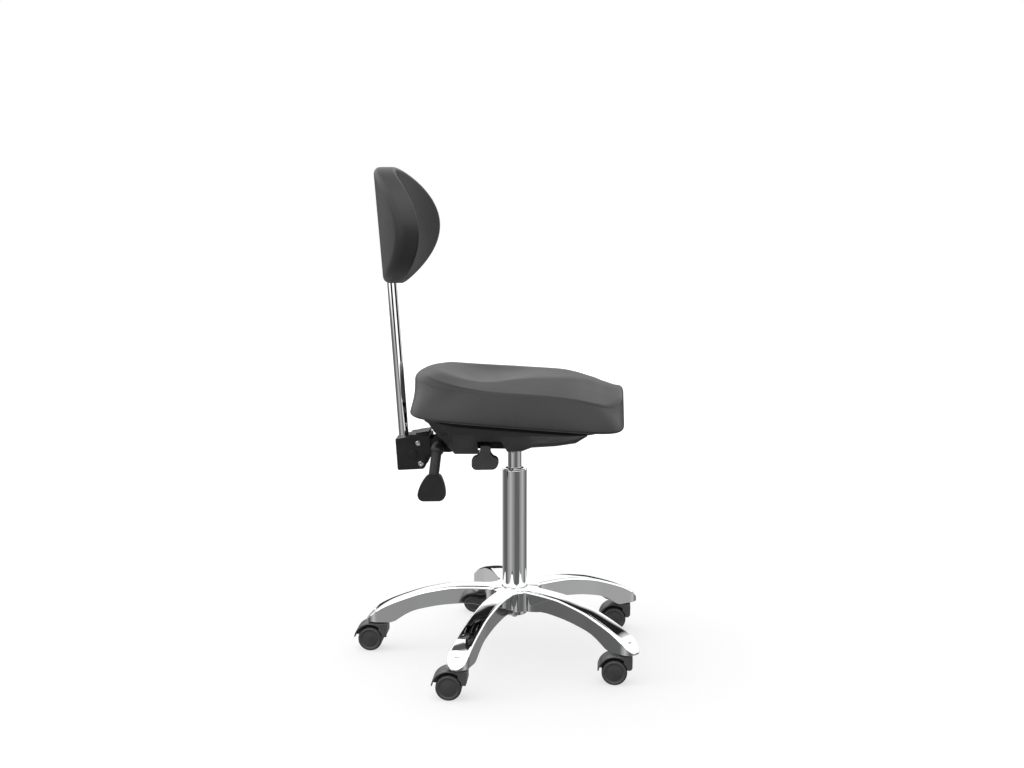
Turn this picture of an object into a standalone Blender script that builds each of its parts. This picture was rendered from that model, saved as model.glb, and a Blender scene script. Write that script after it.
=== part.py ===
"""Swivel work stool with a backrest, a gas lift column and a five-star base on twin-wheel castors.

Frame: metres, +Z up, the sitter faces +X, floor at z = 0.
The origin is the centre of the footprint, and the column axis stands at x = COLUMN_X.
Every length below is measured from the column axis, which the parent empty carries.
"""
import math

import bmesh
import bpy
from mathutils import Matrix, Vector

COLUMN_X = 0.0395
GAP = 0.0003

# base and castors
ARM_COUNT = 5
FIRST_ARM_DEG = 36.0
STEM_CIRCLE_R = 0.279
ARM_TIP_R = 0.308
ARM_HALF_WIDTH = 0.019
ARM_WALL = 0.004
HUB_R = 0.046
HUB_BOTTOM = 0.099
HUB_TOP = 0.141
BOSS_BOTTOM = 0.0625
STEM_R = 0.0055
STEM_TOP = 0.088
STEM_BOTTOM = 0.0475
WHEEL_R = 0.025
WHEEL_INNER_Y = 0.0036
WHEEL_OUTER_Y = 0.0216
CASTOR_TRAIL = 0.020
AXLE_R = 0.003
HOOD_TOP = 0.0585
HOOD_HALF_WIDTH = 0.0215
HOOD_WALL = 0.0022

# gas lift column
TUBE_R = 0.025
TUBE_WALL = 0.0015
TUBE_BOTTOM = 0.084
TUBE_TOP = 0.389
CYLINDER_R = 0.014
CYLINDER_BOTTOM = 0.128
CYLINDER_TOP = 0.478
ROD_R = 0.005
ROD_BOTTOM = 0.0755
ROD_TOP = 0.352
BUTTON_R = 0.0035
BUTTON_TOP = 0.4863

# seat
SEAT_SLOPE = math.radians(3.6)
SEAT_BOTTOM_Z = 0.5117
SEAT_REAR_X = -0.197
SEAT_FRONT_X = 0.220
SEAT_HALF_WIDTH = 0.200
SEAT_TOP_HALF_LENGTH = 0.2088
SEAT_TOP_HALF_WIDTH = 0.182
SEAT_LIP = 0.0050
BOARD_REAR_X = -0.160
BOARD_FRONT_X = 0.172
BOARD_HALF_WIDTH = 0.182
BOARD_CORNER_R = 0.085
BOARD_THICKNESS = 0.015
PLATE_THICKNESS = 0.003
SCREW_X = 0.080
SCREW_Y = 0.055

# mechanism
HOUSING_HALF_WIDTH = 0.035
HOUSING_BOTTOM = 0.4345
SHEET = 0.003
PIVOT_X = -0.118
PIVOT_Z = 0.466
SHAFT_X = -0.149
SHAFT_Z = 0.4385
LIFT_PIVOT_Y = -0.0335
LIFT_PIVOT_Z = 0.464
LIFT_LEVER_X = -0.052

# backrest
TUBE_LEAN = math.radians(3.8)
PAD_LEAN = math.radians(4.4)
BACK_TUBE_R = 0.010
BACK_TUBE_X = -0.2262
BACK_TUBE_Z = 0.4570
BACK_TUBE_BOTTOM = -0.062
BACK_TUBE_TOP = 0.430
PAD_CENTRE_Z = 0.8780
PAD_HALF_HEIGHT = 0.1152
PAD_HALF_WIDTH = 0.1715
PAD_THICKNESS = 0.043
PAD_WING = 0.061
PAD_CENTRE_X = -0.2475


def clear_scene():
    for old in list(bpy.data.objects):
        bpy.data.objects.remove(old, do_unlink=True)


def finish_of(name, colour, roughness, metallic):
    made = bpy.data.materials.get(name)
    if made is None:
        made = bpy.data.materials.new(name)
        made.use_nodes = True
        shader = made.node_tree.nodes["Principled BSDF"]
        shader.inputs["Base Color"].default_value = (*colour, 1.0)
        shader.inputs["Roughness"].default_value = roughness
        shader.inputs["Metallic"].default_value = metallic
        made.diffuse_color = (*colour, 1.0)
    return made


FINISHES = {
    "aluminium": ((0.86, 0.87, 0.88), 0.06, 1.0),
    "chrome": ((0.82, 0.83, 0.84), 0.08, 1.0),
    "steel": ((0.42, 0.42, 0.43), 0.35, 1.0),
    "bright_steel": ((0.75, 0.75, 0.76), 0.20, 1.0),
    "black_sheet": ((0.018, 0.018, 0.018), 0.45, 0.0),
    "cover_plastic": ((0.040, 0.042, 0.042), 0.50, 0.0),
    "lever_plastic": ((0.020, 0.020, 0.020), 0.40, 0.0),
    "castor_plastic": ((0.070, 0.072, 0.076), 0.45, 0.0),
    "wheel_tread": ((0.060, 0.060, 0.062), 0.55, 0.0),
    "bush_plastic": ((0.015, 0.015, 0.015), 0.50, 0.0),
    "upholstery": ((0.075, 0.075, 0.076), 0.60, 0.0),
    "plywood": ((0.020, 0.020, 0.020), 0.60, 0.0),
    "rubber": ((0.020, 0.020, 0.020), 0.80, 0.0),
}


# ---- small tools -------------------------------------------------------------------------------

def add_object(name, bm, finish, parent=None, origin=(0.0, 0.0, 0.0), smooth=None):
    """Make the node from bm, whose coordinates start at the column axis on the floor."""
    start = Vector(origin)
    bmesh.ops.translate(bm, verts=bm.verts, vec=-start)
    mesh = bpy.data.meshes.new(name)
    bm.to_mesh(mesh)
    bm.free()
    if smooth:
        mesh.shade_smooth()
        mesh.set_sharp_from_angle(angle=math.radians(smooth))
    made = bpy.data.objects.new(name, mesh)
    bpy.context.collection.objects.link(made)
    made.location = start
    if finish:
        mesh.materials.append(finish_of(finish, *FINISHES[finish]))
    made.parent = parent or bpy.data.objects["stool"]
    return made


def add_empty(name, place, parent):
    made = bpy.data.objects.new(name, None)
    bpy.context.collection.objects.link(made)
    made.location = place
    made.parent = parent
    return made


def boolean(target, tool, operation="DIFFERENCE"):
    """Cut or join the tool, which stays a hidden wire guide."""
    tool.hide_render = True
    tool.display_type = "WIRE"
    step = target.modifiers.new(tool.name, "BOOLEAN")
    step.operation = operation
    step.solver = "EXACT"
    step.object = tool


def box(low, high):
    bm = bmesh.new()
    bmesh.ops.create_cube(bm, size=1.0)
    size = Vector(high) - Vector(low)
    bmesh.ops.scale(bm, vec=size, verts=bm.verts)
    bmesh.ops.translate(bm, vec=(Vector(high) + Vector(low)) / 2, verts=bm.verts)
    return bm


def join(bm, other):
    """Add the faces of another bmesh to bm."""
    spare = bpy.data.meshes.new("spare")
    other.to_mesh(spare)
    other.free()
    bm.from_mesh(spare)
    bpy.data.meshes.remove(spare)


def lathe(profile, segments=32, closed=True):
    """Turn a profile of (radius, height) points round Z. A closed profile makes a ring."""
    bm = bmesh.new()
    points = [bm.verts.new((radius, 0.0, height)) for radius, height in profile]
    pairs = list(zip(points, points[1:]))
    if closed:
        pairs.append((points[-1], points[0]))
    edges = [bm.edges.new(pair) for pair in pairs]
    bmesh.ops.spin(bm, geom=points + edges, cent=(0, 0, 0), axis=(0, 0, 1), angle=math.tau,
                   steps=segments, use_merge=True, use_duplicate=False)
    bmesh.ops.remove_doubles(bm, verts=bm.verts, dist=0.00001)
    bmesh.ops.recalc_face_normals(bm, faces=bm.faces)
    return bm


def solid_lathe(profile, segments=32):
    """Turn a profile whose two ends lie on the axis."""
    return lathe(profile, segments, closed=False)


def place(bm, turn_deg=0.0, axis="X", move=(0.0, 0.0, 0.0)):
    turn = Matrix.Rotation(math.radians(turn_deg), 4, axis)
    bmesh.ops.transform(bm, matrix=Matrix.Translation(move) @ turn, verts=bm.verts)
    return bm


def rod(radius, start, end, segments=24):
    """Round bar between two points."""
    low = Vector(start)
    high = Vector(end)
    span = high - low
    bm = bmesh.new()
    bmesh.ops.create_cone(bm, cap_ends=True, segments=segments, radius1=radius, radius2=radius,
                          depth=span.length)
    turn = Vector((0, 0, 1)).rotation_difference(span).to_matrix().to_4x4()
    bmesh.ops.transform(bm, matrix=Matrix.Translation((low + high) / 2) @ turn, verts=bm.verts)
    return bm


def rounded(corners, steps=4):
    """Outline with its corners turned into arcs. Each corner is (u, v, radius)."""
    outline = []
    count = len(corners)
    for index, (u, v, radius) in enumerate(corners):
        here = Vector((u, v))
        before = (Vector(corners[index - 1][:2]) - here).normalized()
        after = (Vector(corners[(index + 1) % count][:2]) - here).normalized()
        if radius <= 0:
            outline.append((u, v))
            continue
        half = before.angle(after) / 2
        centre = here + (before + after).normalized() * radius / math.sin(half)
        start = here + before * radius / math.tan(half) - centre
        end = here + after * radius / math.tan(half) - centre
        sweep = start.angle_signed(end)
        for step in range(steps + 1):
            turn = Matrix.Rotation(-sweep * step / steps, 2)
            outline.append(tuple(centre + turn @ start))
    return outline


def slab(outline, low, high, plane="XZ"):
    """Flat piece with the given outline, from low to high along the third axis."""
    bm = bmesh.new()
    if plane == "XZ":
        verts = [bm.verts.new((u, low, v)) for u, v in outline]
        move = (0.0, high - low, 0.0)
    elif plane == "XY":
        verts = [bm.verts.new((u, v, low)) for u, v in outline]
        move = (0.0, 0.0, high - low)
    else:
        verts = [bm.verts.new((low, u, v)) for u, v in outline]
        move = (high - low, 0.0, 0.0)
    face = bm.faces.new(verts)
    grown = bmesh.ops.extrude_face_region(bm, geom=[face])
    moved = [item for item in grown["geom"] if isinstance(item, bmesh.types.BMVert)]
    bmesh.ops.translate(bm, verts=moved, vec=move)
    bmesh.ops.recalc_face_normals(bm, faces=bm.faces)
    return bm


def loft(rings, closed_ends=True):
    """Bridge rings of points, each ring with the same number of points."""
    bm = bmesh.new()
    made = [[bm.verts.new(point) for point in ring] for ring in rings]
    for lower, upper in zip(made, made[1:]):
        for index in range(len(lower)):
            after = (index + 1) % len(lower)
            bm.faces.new((lower[index], lower[after], upper[after], upper[index]))
    if closed_ends:
        bm.faces.new(made[0])
        bm.faces.new(made[-1])
    bmesh.ops.recalc_face_normals(bm, faces=bm.faces)
    return bm


def between(table, value):
    """Straight-line reading of a short table of (position, size) pairs."""
    if value <= table[0][0]:
        return table[0][1]
    for (low, first), (high, second) in zip(table, table[1:]):
        if value <= high:
            return first + (second - first) * (value - low) / (high - low)
    return table[-1][1]


# ---- base --------------------------------------------------------------------------------------

ARM_TOP = [(0.030, 0.141), (0.090, 0.1435), (0.150, 0.138), (0.200, 0.127), (0.240, 0.1135),
           (0.270, 0.099), (0.290, 0.085), (0.308, 0.066)]
ARM_BOTTOM = [(0.030, 0.101), (0.090, 0.106), (0.150, 0.1025), (0.200, 0.0915), (0.222, 0.0845),
              (0.240, 0.072), (0.251, BOSS_BOTTOM), (0.308, BOSS_BOTTOM)]
ARM_STATIONS = [0.030, 0.060, 0.090, 0.120, 0.150, 0.175, 0.200, 0.222, 0.240, 0.251, 0.270, 0.284,
                0.295, 0.303, 0.3065]
CHANNEL_STATIONS = [0.054, 0.090, 0.130, 0.170, 0.205, 0.236]
ARM_END_CENTRE = 0.286


def arm_half_width(reach):
    past = (reach - ARM_END_CENTRE) / (ARM_TIP_R - ARM_END_CENTRE)
    if past <= 0:
        return ARM_HALF_WIDTH + 0.0025 * max(0.0, reach - 0.2) / 0.086
    return 0.0215 * math.sqrt(max(0.0, 1.0 - past * past))


def arm_angles():
    return [FIRST_ARM_DEG + 360.0 / ARM_COUNT * index for index in range(ARM_COUNT)]


def arm_section(reach):
    """Closed outline of the arm across its length, flat sides and a softly rounded top."""
    half = arm_half_width(reach)
    top = between(ARM_TOP, reach)
    bottom = between(ARM_BOTTOM, reach)
    side = [(1.0, bottom), (1.0, top - 0.0065), (0.93, top - 0.0032), (0.72, top - 0.0010)]
    right = [(reach, half * share, height) for share, height in side]
    left = [(reach, -half * share, height) for share, height in reversed(side)]
    return right + [(reach, 0.0, top)] + left


def arm_body():
    return loft([arm_section(reach) for reach in ARM_STATIONS])


def arm_channel():
    """Hollow under the arm, open at the bottom."""
    rings = []
    for reach in CHANNEL_STATIONS:
        half = arm_half_width(reach) - ARM_WALL
        top = between(ARM_TOP, reach) - 0.0075
        bottom = between(ARM_BOTTOM, reach) - 0.010
        rings.append([(reach, half, bottom), (reach, half, top - 0.003), (reach, half - 0.003, top),
                      (reach, -half + 0.003, top), (reach, -half, top - 0.003),
                      (reach, -half, bottom)])
    return loft(rings)


def build_star_base():
    hub = solid_lathe([(0.0, HUB_TOP), (HUB_R - 0.004, HUB_TOP - 0.001), (HUB_R, HUB_TOP - 0.006),
                       (HUB_R, HUB_BOTTOM), (0.0, HUB_BOTTOM)], 32)
    star = add_object("star_base", hub, "aluminium", smooth=35)
    channels = bmesh.new()
    sockets = bmesh.new()
    for number, angle in enumerate(arm_angles(), 1):
        arm = place(arm_body(), angle, "Z")
        boolean(star, add_object(f"arm_guide_{number}", arm, None), "UNION")
        join(channels, place(arm_channel(), angle, "Z"))
        socket = rod(STEM_R + GAP, (STEM_CIRCLE_R, 0, 0.040), (STEM_CIRCLE_R, 0, STEM_TOP + GAP), 12)
        join(sockets, place(socket, angle, "Z"))
    boolean(star, add_object("channel_cutter", channels, None))
    boolean(star, add_object("socket_cutter", sockets, None))
    bore = rod(TUBE_R + 2 * GAP, (0, 0, 0.080), (0, 0, 0.160), 32)
    boolean(star, add_object("column_bore_cutter", bore, None))


def hood_profile():
    """Side view of the castor hood: arch over the wheels and block round the stem."""
    outer = HOOD_TOP - WHEEL_R
    inner = outer - HOOD_WALL
    centre_x = -CASTOR_TRAIL
    outline = []
    for step in range(9):
        turn = math.radians(172 - step * 82 / 8)
        outline.append((centre_x + outer * math.cos(turn), WHEEL_R + outer * math.sin(turn)))
    front_x = 0.0135
    outline.append((front_x, HOOD_TOP))
    for step in range(4):
        turn = math.radians(-step * 25)
        outline.append((front_x - 0.010 + 0.010 * math.cos(turn), 0.030 + 0.010 * math.sin(turn)))
    start = math.degrees(math.atan2(0.0205 - WHEEL_R, 0.0048 - centre_x))
    for step in range(11):
        turn = math.radians(start + step * (172 - start) / 10)
        outline.append((centre_x + inner * math.cos(turn), WHEEL_R + inner * math.sin(turn)))
    return outline


def build_castor(number, angle):
    turn = math.radians(angle)
    centre = Vector((STEM_CIRCLE_R * math.cos(turn), STEM_CIRCLE_R * math.sin(turn), 0.0))
    axis_point = centre + Vector((-CASTOR_TRAIL, 0.0, WHEEL_R))
    pivot = add_empty(f"castor_{number}", centre, bpy.data.objects["stool"])

    stem = solid_lathe([(0.0, STEM_TOP), (STEM_R - 0.001, STEM_TOP), (STEM_R, STEM_TOP - 0.001),
                        (STEM_R, BOSS_BOTTOM - GAP), (0.0085, BOSS_BOTTOM - GAP),
                        (0.0085, HOOD_TOP + GAP), (STEM_R, HOOD_TOP + GAP), (STEM_R, STEM_BOTTOM),
                        (0.0, STEM_BOTTOM)], 12)
    bmesh.ops.translate(stem, vec=centre, verts=stem.verts)
    add_object(f"castor_stem_{number}", stem, "steel", origin=centre, smooth=35)

    hood = slab(hood_profile(), -HOOD_HALF_WIDTH, HOOD_HALF_WIDTH)
    shell = add_object(f"castor_hood_{number}", hood, "castor_plastic", parent=pivot, smooth=35)
    web_r = HOOD_TOP - WHEEL_R - 0.001
    web = slab([(-CASTOR_TRAIL + web_r * math.cos(math.tau * step / 28),
                 WHEEL_R + web_r * math.sin(math.tau * step / 28)) for step in range(3, 18)],
               -0.0030, 0.0030)
    disc = rod(0.013, (-CASTOR_TRAIL, -0.0030, WHEEL_R), (-CASTOR_TRAIL, 0.0030, WHEEL_R), 20)
    boolean(shell, add_object(f"hood_web_{number}", web, None, parent=pivot), "UNION")
    boolean(shell, add_object(f"hood_disc_{number}", disc, None, parent=pivot), "UNION")
    holes = rod(AXLE_R + GAP, (-CASTOR_TRAIL, -0.03, WHEEL_R), (-CASTOR_TRAIL, 0.03, WHEEL_R), 12)
    join(holes, rod(STEM_R + GAP, (0, 0, STEM_BOTTOM - GAP), (0, 0, 0.07), 12))
    boolean(shell, add_object(f"hood_holes_{number}", holes, None, parent=pivot))

    axle = rod(AXLE_R, (-CASTOR_TRAIL, -0.0165, WHEEL_R), (-CASTOR_TRAIL, 0.0165, WHEEL_R), 12)
    add_object(f"castor_axle_{number}", axle, "steel", parent=pivot, smooth=35)

    for side, mirror in (("left", 1.0), ("right", -1.0)):
        wheel = solid_lathe([(0.0, 0.0168), (AXLE_R + GAP, 0.0168), (AXLE_R + GAP, WHEEL_INNER_Y),
                             (WHEEL_R, WHEEL_INNER_Y), (WHEEL_R, WHEEL_OUTER_Y - 0.0050),
                             (0.0215, WHEEL_OUTER_Y), (0.0, WHEEL_OUTER_Y - 0.0010)], 24)
        place(wheel, -90.0 * mirror, "X")
        bmesh.ops.translate(wheel, vec=axis_point, verts=wheel.verts)
        add_object(f"castor_wheel_{number}_{side}", wheel, "wheel_tread", origin=axis_point, smooth=35)


# ---- gas lift ----------------------------------------------------------------------------------

def build_column():
    lip = TUBE_TOP - 0.0016
    inner = TUBE_R - TUBE_WALL
    tube = lathe([(TUBE_R - 0.0016, TUBE_TOP), (TUBE_R - 0.0005, TUBE_TOP - 0.0005), (TUBE_R, lip),
                  (TUBE_R, TUBE_BOTTOM), (ROD_R + 0.0015, TUBE_BOTTOM),
                  (ROD_R + 0.0015, TUBE_BOTTOM + 0.002), (inner, TUBE_BOTTOM + 0.002),
                  (inner, TUBE_TOP - 0.002), (0.0185, TUBE_TOP - 0.002), (0.0185, TUBE_TOP)], 32)
    add_object("column_tube", tube, "chrome", smooth=35)

    top = TUBE_TOP - 0.002 - GAP
    bush = lathe([(inner - GAP, top), (inner - GAP, top - 0.058), (CYLINDER_R + GAP, top - 0.058),
                  (CYLINDER_R + GAP, TUBE_TOP - 0.0002), (0.0182, TUBE_TOP - 0.0002),
                  (0.0182, top)], 32)
    add_object("column_bush", bush, "bush_plastic", smooth=35)

    floor = TUBE_BOTTOM + 0.002 + GAP
    bearing = lathe([(ROD_R + GAP, floor), (0.013, floor), (0.013, floor + 0.007),
                     (ROD_R + GAP, floor + 0.007)], 24)
    add_object("thrust_bearing", bearing, "steel", smooth=35)


def build_rod():
    """Piston rod with its groove, the clip under the tube and the rubber stop on top of the bearing."""
    groove = TUBE_BOTTOM - 0.0055
    shaft = solid_lathe([(0.0, ROD_TOP), (0.0085, ROD_TOP), (0.0085, ROD_TOP - 0.012),
                         (ROD_R, ROD_TOP - 0.012), (ROD_R, groove + 0.002),
                         (ROD_R - 0.0012, groove + 0.002), (ROD_R - 0.0012, groove),
                         (ROD_R, groove), (ROD_R, ROD_BOTTOM), (0.0, ROD_BOTTOM)], 20)
    add_object("piston_rod", shaft, "steel", smooth=35)

    clip = lathe([(ROD_R - 0.0009, groove + GAP), (0.0095, groove + GAP), (0.0095, groove + 0.0017),
                  (ROD_R - 0.0009, groove + 0.0017)], 20)
    add_object("rod_clip", clip, "bright_steel", smooth=35)

    low = TUBE_BOTTOM + 0.002 + 0.007 + 0.0009
    stop = lathe([(ROD_R + GAP, low), (0.010, low), (0.011, low + 0.006), (0.009, low + 0.022),
                  (ROD_R + GAP, low + 0.022)], 20)
    add_object("bump_stop", stop, "rubber", smooth=35)


def build_gas_cylinder():
    wall = CYLINDER_R - 0.0025
    body = solid_lathe([(0.0, CYLINDER_TOP), (CYLINDER_R - 0.0025, CYLINDER_TOP),
                        (CYLINDER_R - 0.0015, CYLINDER_TOP - 0.002), (CYLINDER_R, CYLINDER_TOP - 0.040),
                        (CYLINDER_R, CYLINDER_BOTTOM), (ROD_R + GAP, CYLINDER_BOTTOM),
                        (ROD_R + GAP, CYLINDER_BOTTOM + 0.014), (wall, CYLINDER_BOTTOM + 0.014),
                        (wall, CYLINDER_TOP - 0.018), (0.0, CYLINDER_TOP - 0.018)], 32)
    cylinder = add_object("gas_cylinder", body, "chrome", smooth=35)
    port = rod(BUTTON_R + GAP, (0, 0, CYLINDER_TOP - 0.012), (0, 0, CYLINDER_TOP + 0.01), 16)
    boolean(cylinder, add_object("button_port_cutter", port, None))

    pin = solid_lathe([(0.0, BUTTON_TOP), (BUTTON_R - 0.0008, BUTTON_TOP),
                       (BUTTON_R, BUTTON_TOP - 0.0008), (BUTTON_R, CYLINDER_TOP - 0.0065),
                       (0.0, CYLINDER_TOP - 0.0065)], 16)
    add_object("gas_button", pin, "bright_steel", origin=(0, 0, CYLINDER_TOP), smooth=35)


# ---- seat and mechanism ------------------------------------------------------------------------

def seat_plane(x, down=0.0):
    """Height of the seat's underside at x, or of a level parallel to it."""
    return SEAT_BOTTOM_Z - math.tan(SEAT_SLOPE) * x - down


def tilt_to_seat(bm):
    """Shear flat pieces made at z = 0 into the seat's sloping plane."""
    for vert in bm.verts:
        vert.co.z += seat_plane(vert.co.x)
    return bm


def plan_outline(rear, front, half, rear_r, front_r, steps=6):
    return rounded([(front, -half, front_r), (front, half, front_r), (rear, half, rear_r),
                    (rear, -half, rear_r)], steps)


def screw_places():
    return [(x, y) for x in (-SCREW_X, SCREW_X) for y in (-SCREW_Y, SCREW_Y)]


def screw_holes(low, high, radius):
    holes = bmesh.new()
    for x, y in screw_places():
        join(holes, rod(radius, (x, y, low), (x, y, high), 12))
    return tilt_to_seat(holes)


CREASE_Z = [(-0.1855, 0.588), (-0.160, 0.5847), (-0.143, 0.5816), (-0.092, 0.5762),
            (-0.040, 0.5716), (0.011, 0.5692), (0.059, 0.5663), (0.100, 0.5622), (0.1345, 0.5562),
            (0.165, 0.5481), (0.189, 0.5412), (0.203, 0.5415), (0.2185, 0.549)]
CROWN_Z = [(-0.1855, 0.589), (-0.165, 0.594), (-0.140, 0.5955), (-0.100, 0.588), (-0.040, 0.581),
           (0.020, 0.583), (0.060, 0.586), (0.100, 0.585), (0.127, 0.582), (0.160, 0.5735),
           (0.189, 0.563), (0.2185, 0.550)]
FOOT_POWERS = (5.2, 6.5)
TOP_POWERS = (2.3, 3.5)


def seat_top(x, y):
    edge = between(CREASE_Z, x)
    crown = between(CROWN_Z, x)
    share = min(1.0, abs(y) / SEAT_TOP_HALF_WIDTH)
    return edge + (crown - edge) * math.cos(math.pi / 2 * share) ** 2


def oval_point(turn, half_length, half_width, powers):
    """Point of a squared oval, with one power for its rear half and one for its front half."""
    along = math.cos(turn)
    across = math.sin(turn)
    power = powers[0] if along < 0 else powers[1]
    reach = (abs(along / half_length) ** power + abs(across / half_width) ** power) ** (-1 / power)
    return Vector((reach * along, reach * across))


def board_outline(grow=0.0):
    return plan_outline(BOARD_REAR_X - grow, BOARD_FRONT_X + grow, BOARD_HALF_WIDTH + grow,
                        BOARD_CORNER_R + grow, BOARD_CORNER_R + grow)


def build_seat_cushion():
    """Foot with nearly square corners that narrows to an oval top with a raised rear and a front ridge."""
    centre_x = (SEAT_REAR_X + SEAT_FRONT_X) / 2
    half_length = SEAT_FRONT_X - centre_x
    top_shift = SEAT_FRONT_X - 0.0015 - SEAT_TOP_HALF_LENGTH - centre_x
    count = 48

    def ring(share, scale, height):
        points = []
        for step in range(count):
            turn = math.tau * (step + 0.5) / count
            foot = oval_point(turn, half_length, SEAT_HALF_WIDTH, FOOT_POWERS)
            top = oval_point(turn, SEAT_TOP_HALF_LENGTH, SEAT_TOP_HALF_WIDTH, TOP_POWERS)
            top.x += top_shift
            spot = foot.lerp(top, share) * scale
            x = centre_x + spot.x
            points.append((x, spot.y, height(x, spot.y)))
        return points

    rings = [ring(0.0, 0.965, lambda x, y: seat_plane(x, SEAT_LIP)),
             ring(0.0, 0.992, lambda x, y: seat_plane(x, SEAT_LIP) + 0.002),
             ring(0.0, 1.000, lambda x, y: seat_plane(x, SEAT_LIP) + 0.008),
             ring(1.0, 1.000, lambda x, y: seat_top(x, y) - 0.005),
             ring(1.0, 0.985, lambda x, y: seat_top(x, y) - 0.001),
             ring(1.0, 0.940, seat_top), ring(1.0, 0.750, seat_top), ring(1.0, 0.500, seat_top),
             ring(1.0, 0.250, seat_top)]
    made = add_object("seat_cushion", loft(rings), "upholstery", smooth=40)
    recess = board_outline(GAP)
    recess_cutter = tilt_to_seat(slab(recess, -3 * SEAT_LIP, 0.0, "XY"))
    boolean(made, add_object("cushion_recess_cutter", recess_cutter, None))


def build_seat_board():
    board = tilt_to_seat(slab(board_outline(), -GAP - BOARD_THICKNESS, -GAP, "XY"))
    made = add_object("seat_board", board, "plywood", smooth=35)
    boolean(made, add_object("board_hole_cutter", screw_holes(-0.030, -0.004, 0.003 + GAP), None))

    top = -2 * GAP - BOARD_THICKNESS
    plate_outline = plan_outline(-0.108, 0.108, 0.070, 0.015, 0.015, 3)
    plate = tilt_to_seat(slab(plate_outline, top - PLATE_THICKNESS, top, "XY"))
    made = add_object("mechanism_plate", plate, "black_sheet", smooth=35)
    boolean(made, add_object("plate_hole_cutter", screw_holes(-0.030, -0.004, 0.003 + GAP), None))

    under = top - PLATE_THICKNESS - 3 * GAP
    for number, (x, y) in enumerate(screw_places(), 1):
        screw = solid_lathe([(0.0, -0.0045), (0.003, -0.0045), (0.003, under), (0.0055, under),
                             (0.0055, under - 0.004), (0.0030, under - 0.004),
                             (0.0025, under - 0.002), (0.0, under - 0.002)], 12)
        bmesh.ops.translate(screw, vec=(x, y, seat_plane(x)), verts=screw.verts)
        add_object(f"seat_screw_{number}", screw, "bright_steel", origin=(x, y, 0.48), smooth=35)


def build_housing():
    """Folded steel channel under the plate, with the cone that grips the gas cylinder."""
    level = BOARD_THICKNESS + PLATE_THICKNESS + 3 * GAP
    top_rear = seat_plane(-0.105, level)
    top_front = seat_plane(0.095, level)
    side = rounded([(-0.105, top_rear, 0), (-0.135, top_rear, 0.010), (-0.165, 0.448, 0.012),
                    (-0.165, 0.426, 0.012), (-0.128, 0.426, 0.012), (-0.100, HOUSING_BOTTOM, 0.010),
                    (0.020, HOUSING_BOTTOM, 0), (0.038, 0.4560, 0), (0.095, 0.4630, 0.003),
                    (0.095, top_front, 0)], 4)
    outer = HOUSING_HALF_WIDTH
    housing = slab(side, -outer, outer)
    made = add_object("mechanism_housing", housing, "black_sheet", smooth=35)
    inside = slab([(-0.300, HOUSING_BOTTOM + SHEET), (0.020, HOUSING_BOTTOM + SHEET),
                   (0.038, 0.4560 + SHEET), (0.092, 0.4630 + SHEET), (0.092, 0.600), (-0.300, 0.600)],
                  -outer + SHEET, outer - SHEET)
    boolean(made, add_object("housing_hollow_cutter", inside, None))
    rear = box((-0.30, -outer + SHEET, 0.40), (-0.098, outer - SHEET, HOUSING_BOTTOM + 0.01))
    boolean(made, add_object("housing_rear_cutter", rear, None))
    cone = rod(0.0195, (0, 0, HOUSING_BOTTOM - 0.002), (0, 0, 0.476), 32)
    boolean(made, add_object("cone_guide", cone, None), "UNION")
    bore = rod(CYLINDER_R + GAP, (0, 0, 0.43), (0, 0, 0.50), 32)
    boolean(made, add_object("cone_bore_cutter", bore, None))
    holes = rod(0.005 + GAP, (PIVOT_X, -0.06, PIVOT_Z), (PIVOT_X, 0.06, PIVOT_Z), 16)
    join(holes, rod(0.005 + GAP, (SHAFT_X, -0.06, SHAFT_Z), (SHAFT_X, 0.06, SHAFT_Z), 16))
    slot = box((LIFT_LEVER_X - 0.008, -0.06, 0.4535), (LIFT_LEVER_X + 0.008, -0.02, 0.4745))
    join(holes, slot)
    boolean(made, add_object("housing_hole_cutter", holes, None))

    pin = rod(0.005, (PIVOT_X, -0.0385, PIVOT_Z), (PIVOT_X, 0.0385, PIVOT_Z), 16)
    add_object("back_pivot_pin", pin, "bright_steel", origin=(PIVOT_X, 0, PIVOT_Z), smooth=35)


COVER_SIDE = [(-0.1680, 0.4960), (-0.1550, 0.4740), (-0.1400, 0.4570), (-0.1150, 0.4285),
              (-0.0740, 0.4290), (-0.0300, 0.4330), (0.0190, 0.4360), (0.0380, 0.4435),
              (0.0860, 0.4475), (0.1250, 0.4545), (0.1480, 0.4700)]


def cover_section(x, bottom, shrink=0.0):
    """Half-open trough across the cover at x, given as a closed ring of points."""
    top = seat_plane(x, BOARD_THICKNESS + 2 * GAP) + (0.02 if shrink else 0.0)
    depth = max(0.004, top - bottom)
    upper = 0.122 - shrink
    lower = 0.073 - shrink + 0.35 * max(0.0, 0.050 - depth)
    floor = bottom + shrink
    half = [(upper, top), (upper - 0.010, top - depth * 0.35), (lower + 0.006, floor + 0.010),
            (lower, floor + 0.003), (lower - 0.008, floor)]
    right = [(x, y, z) for y, z in half]
    left = [(x, -y, z) for y, z in reversed(half)]
    return right + left


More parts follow.
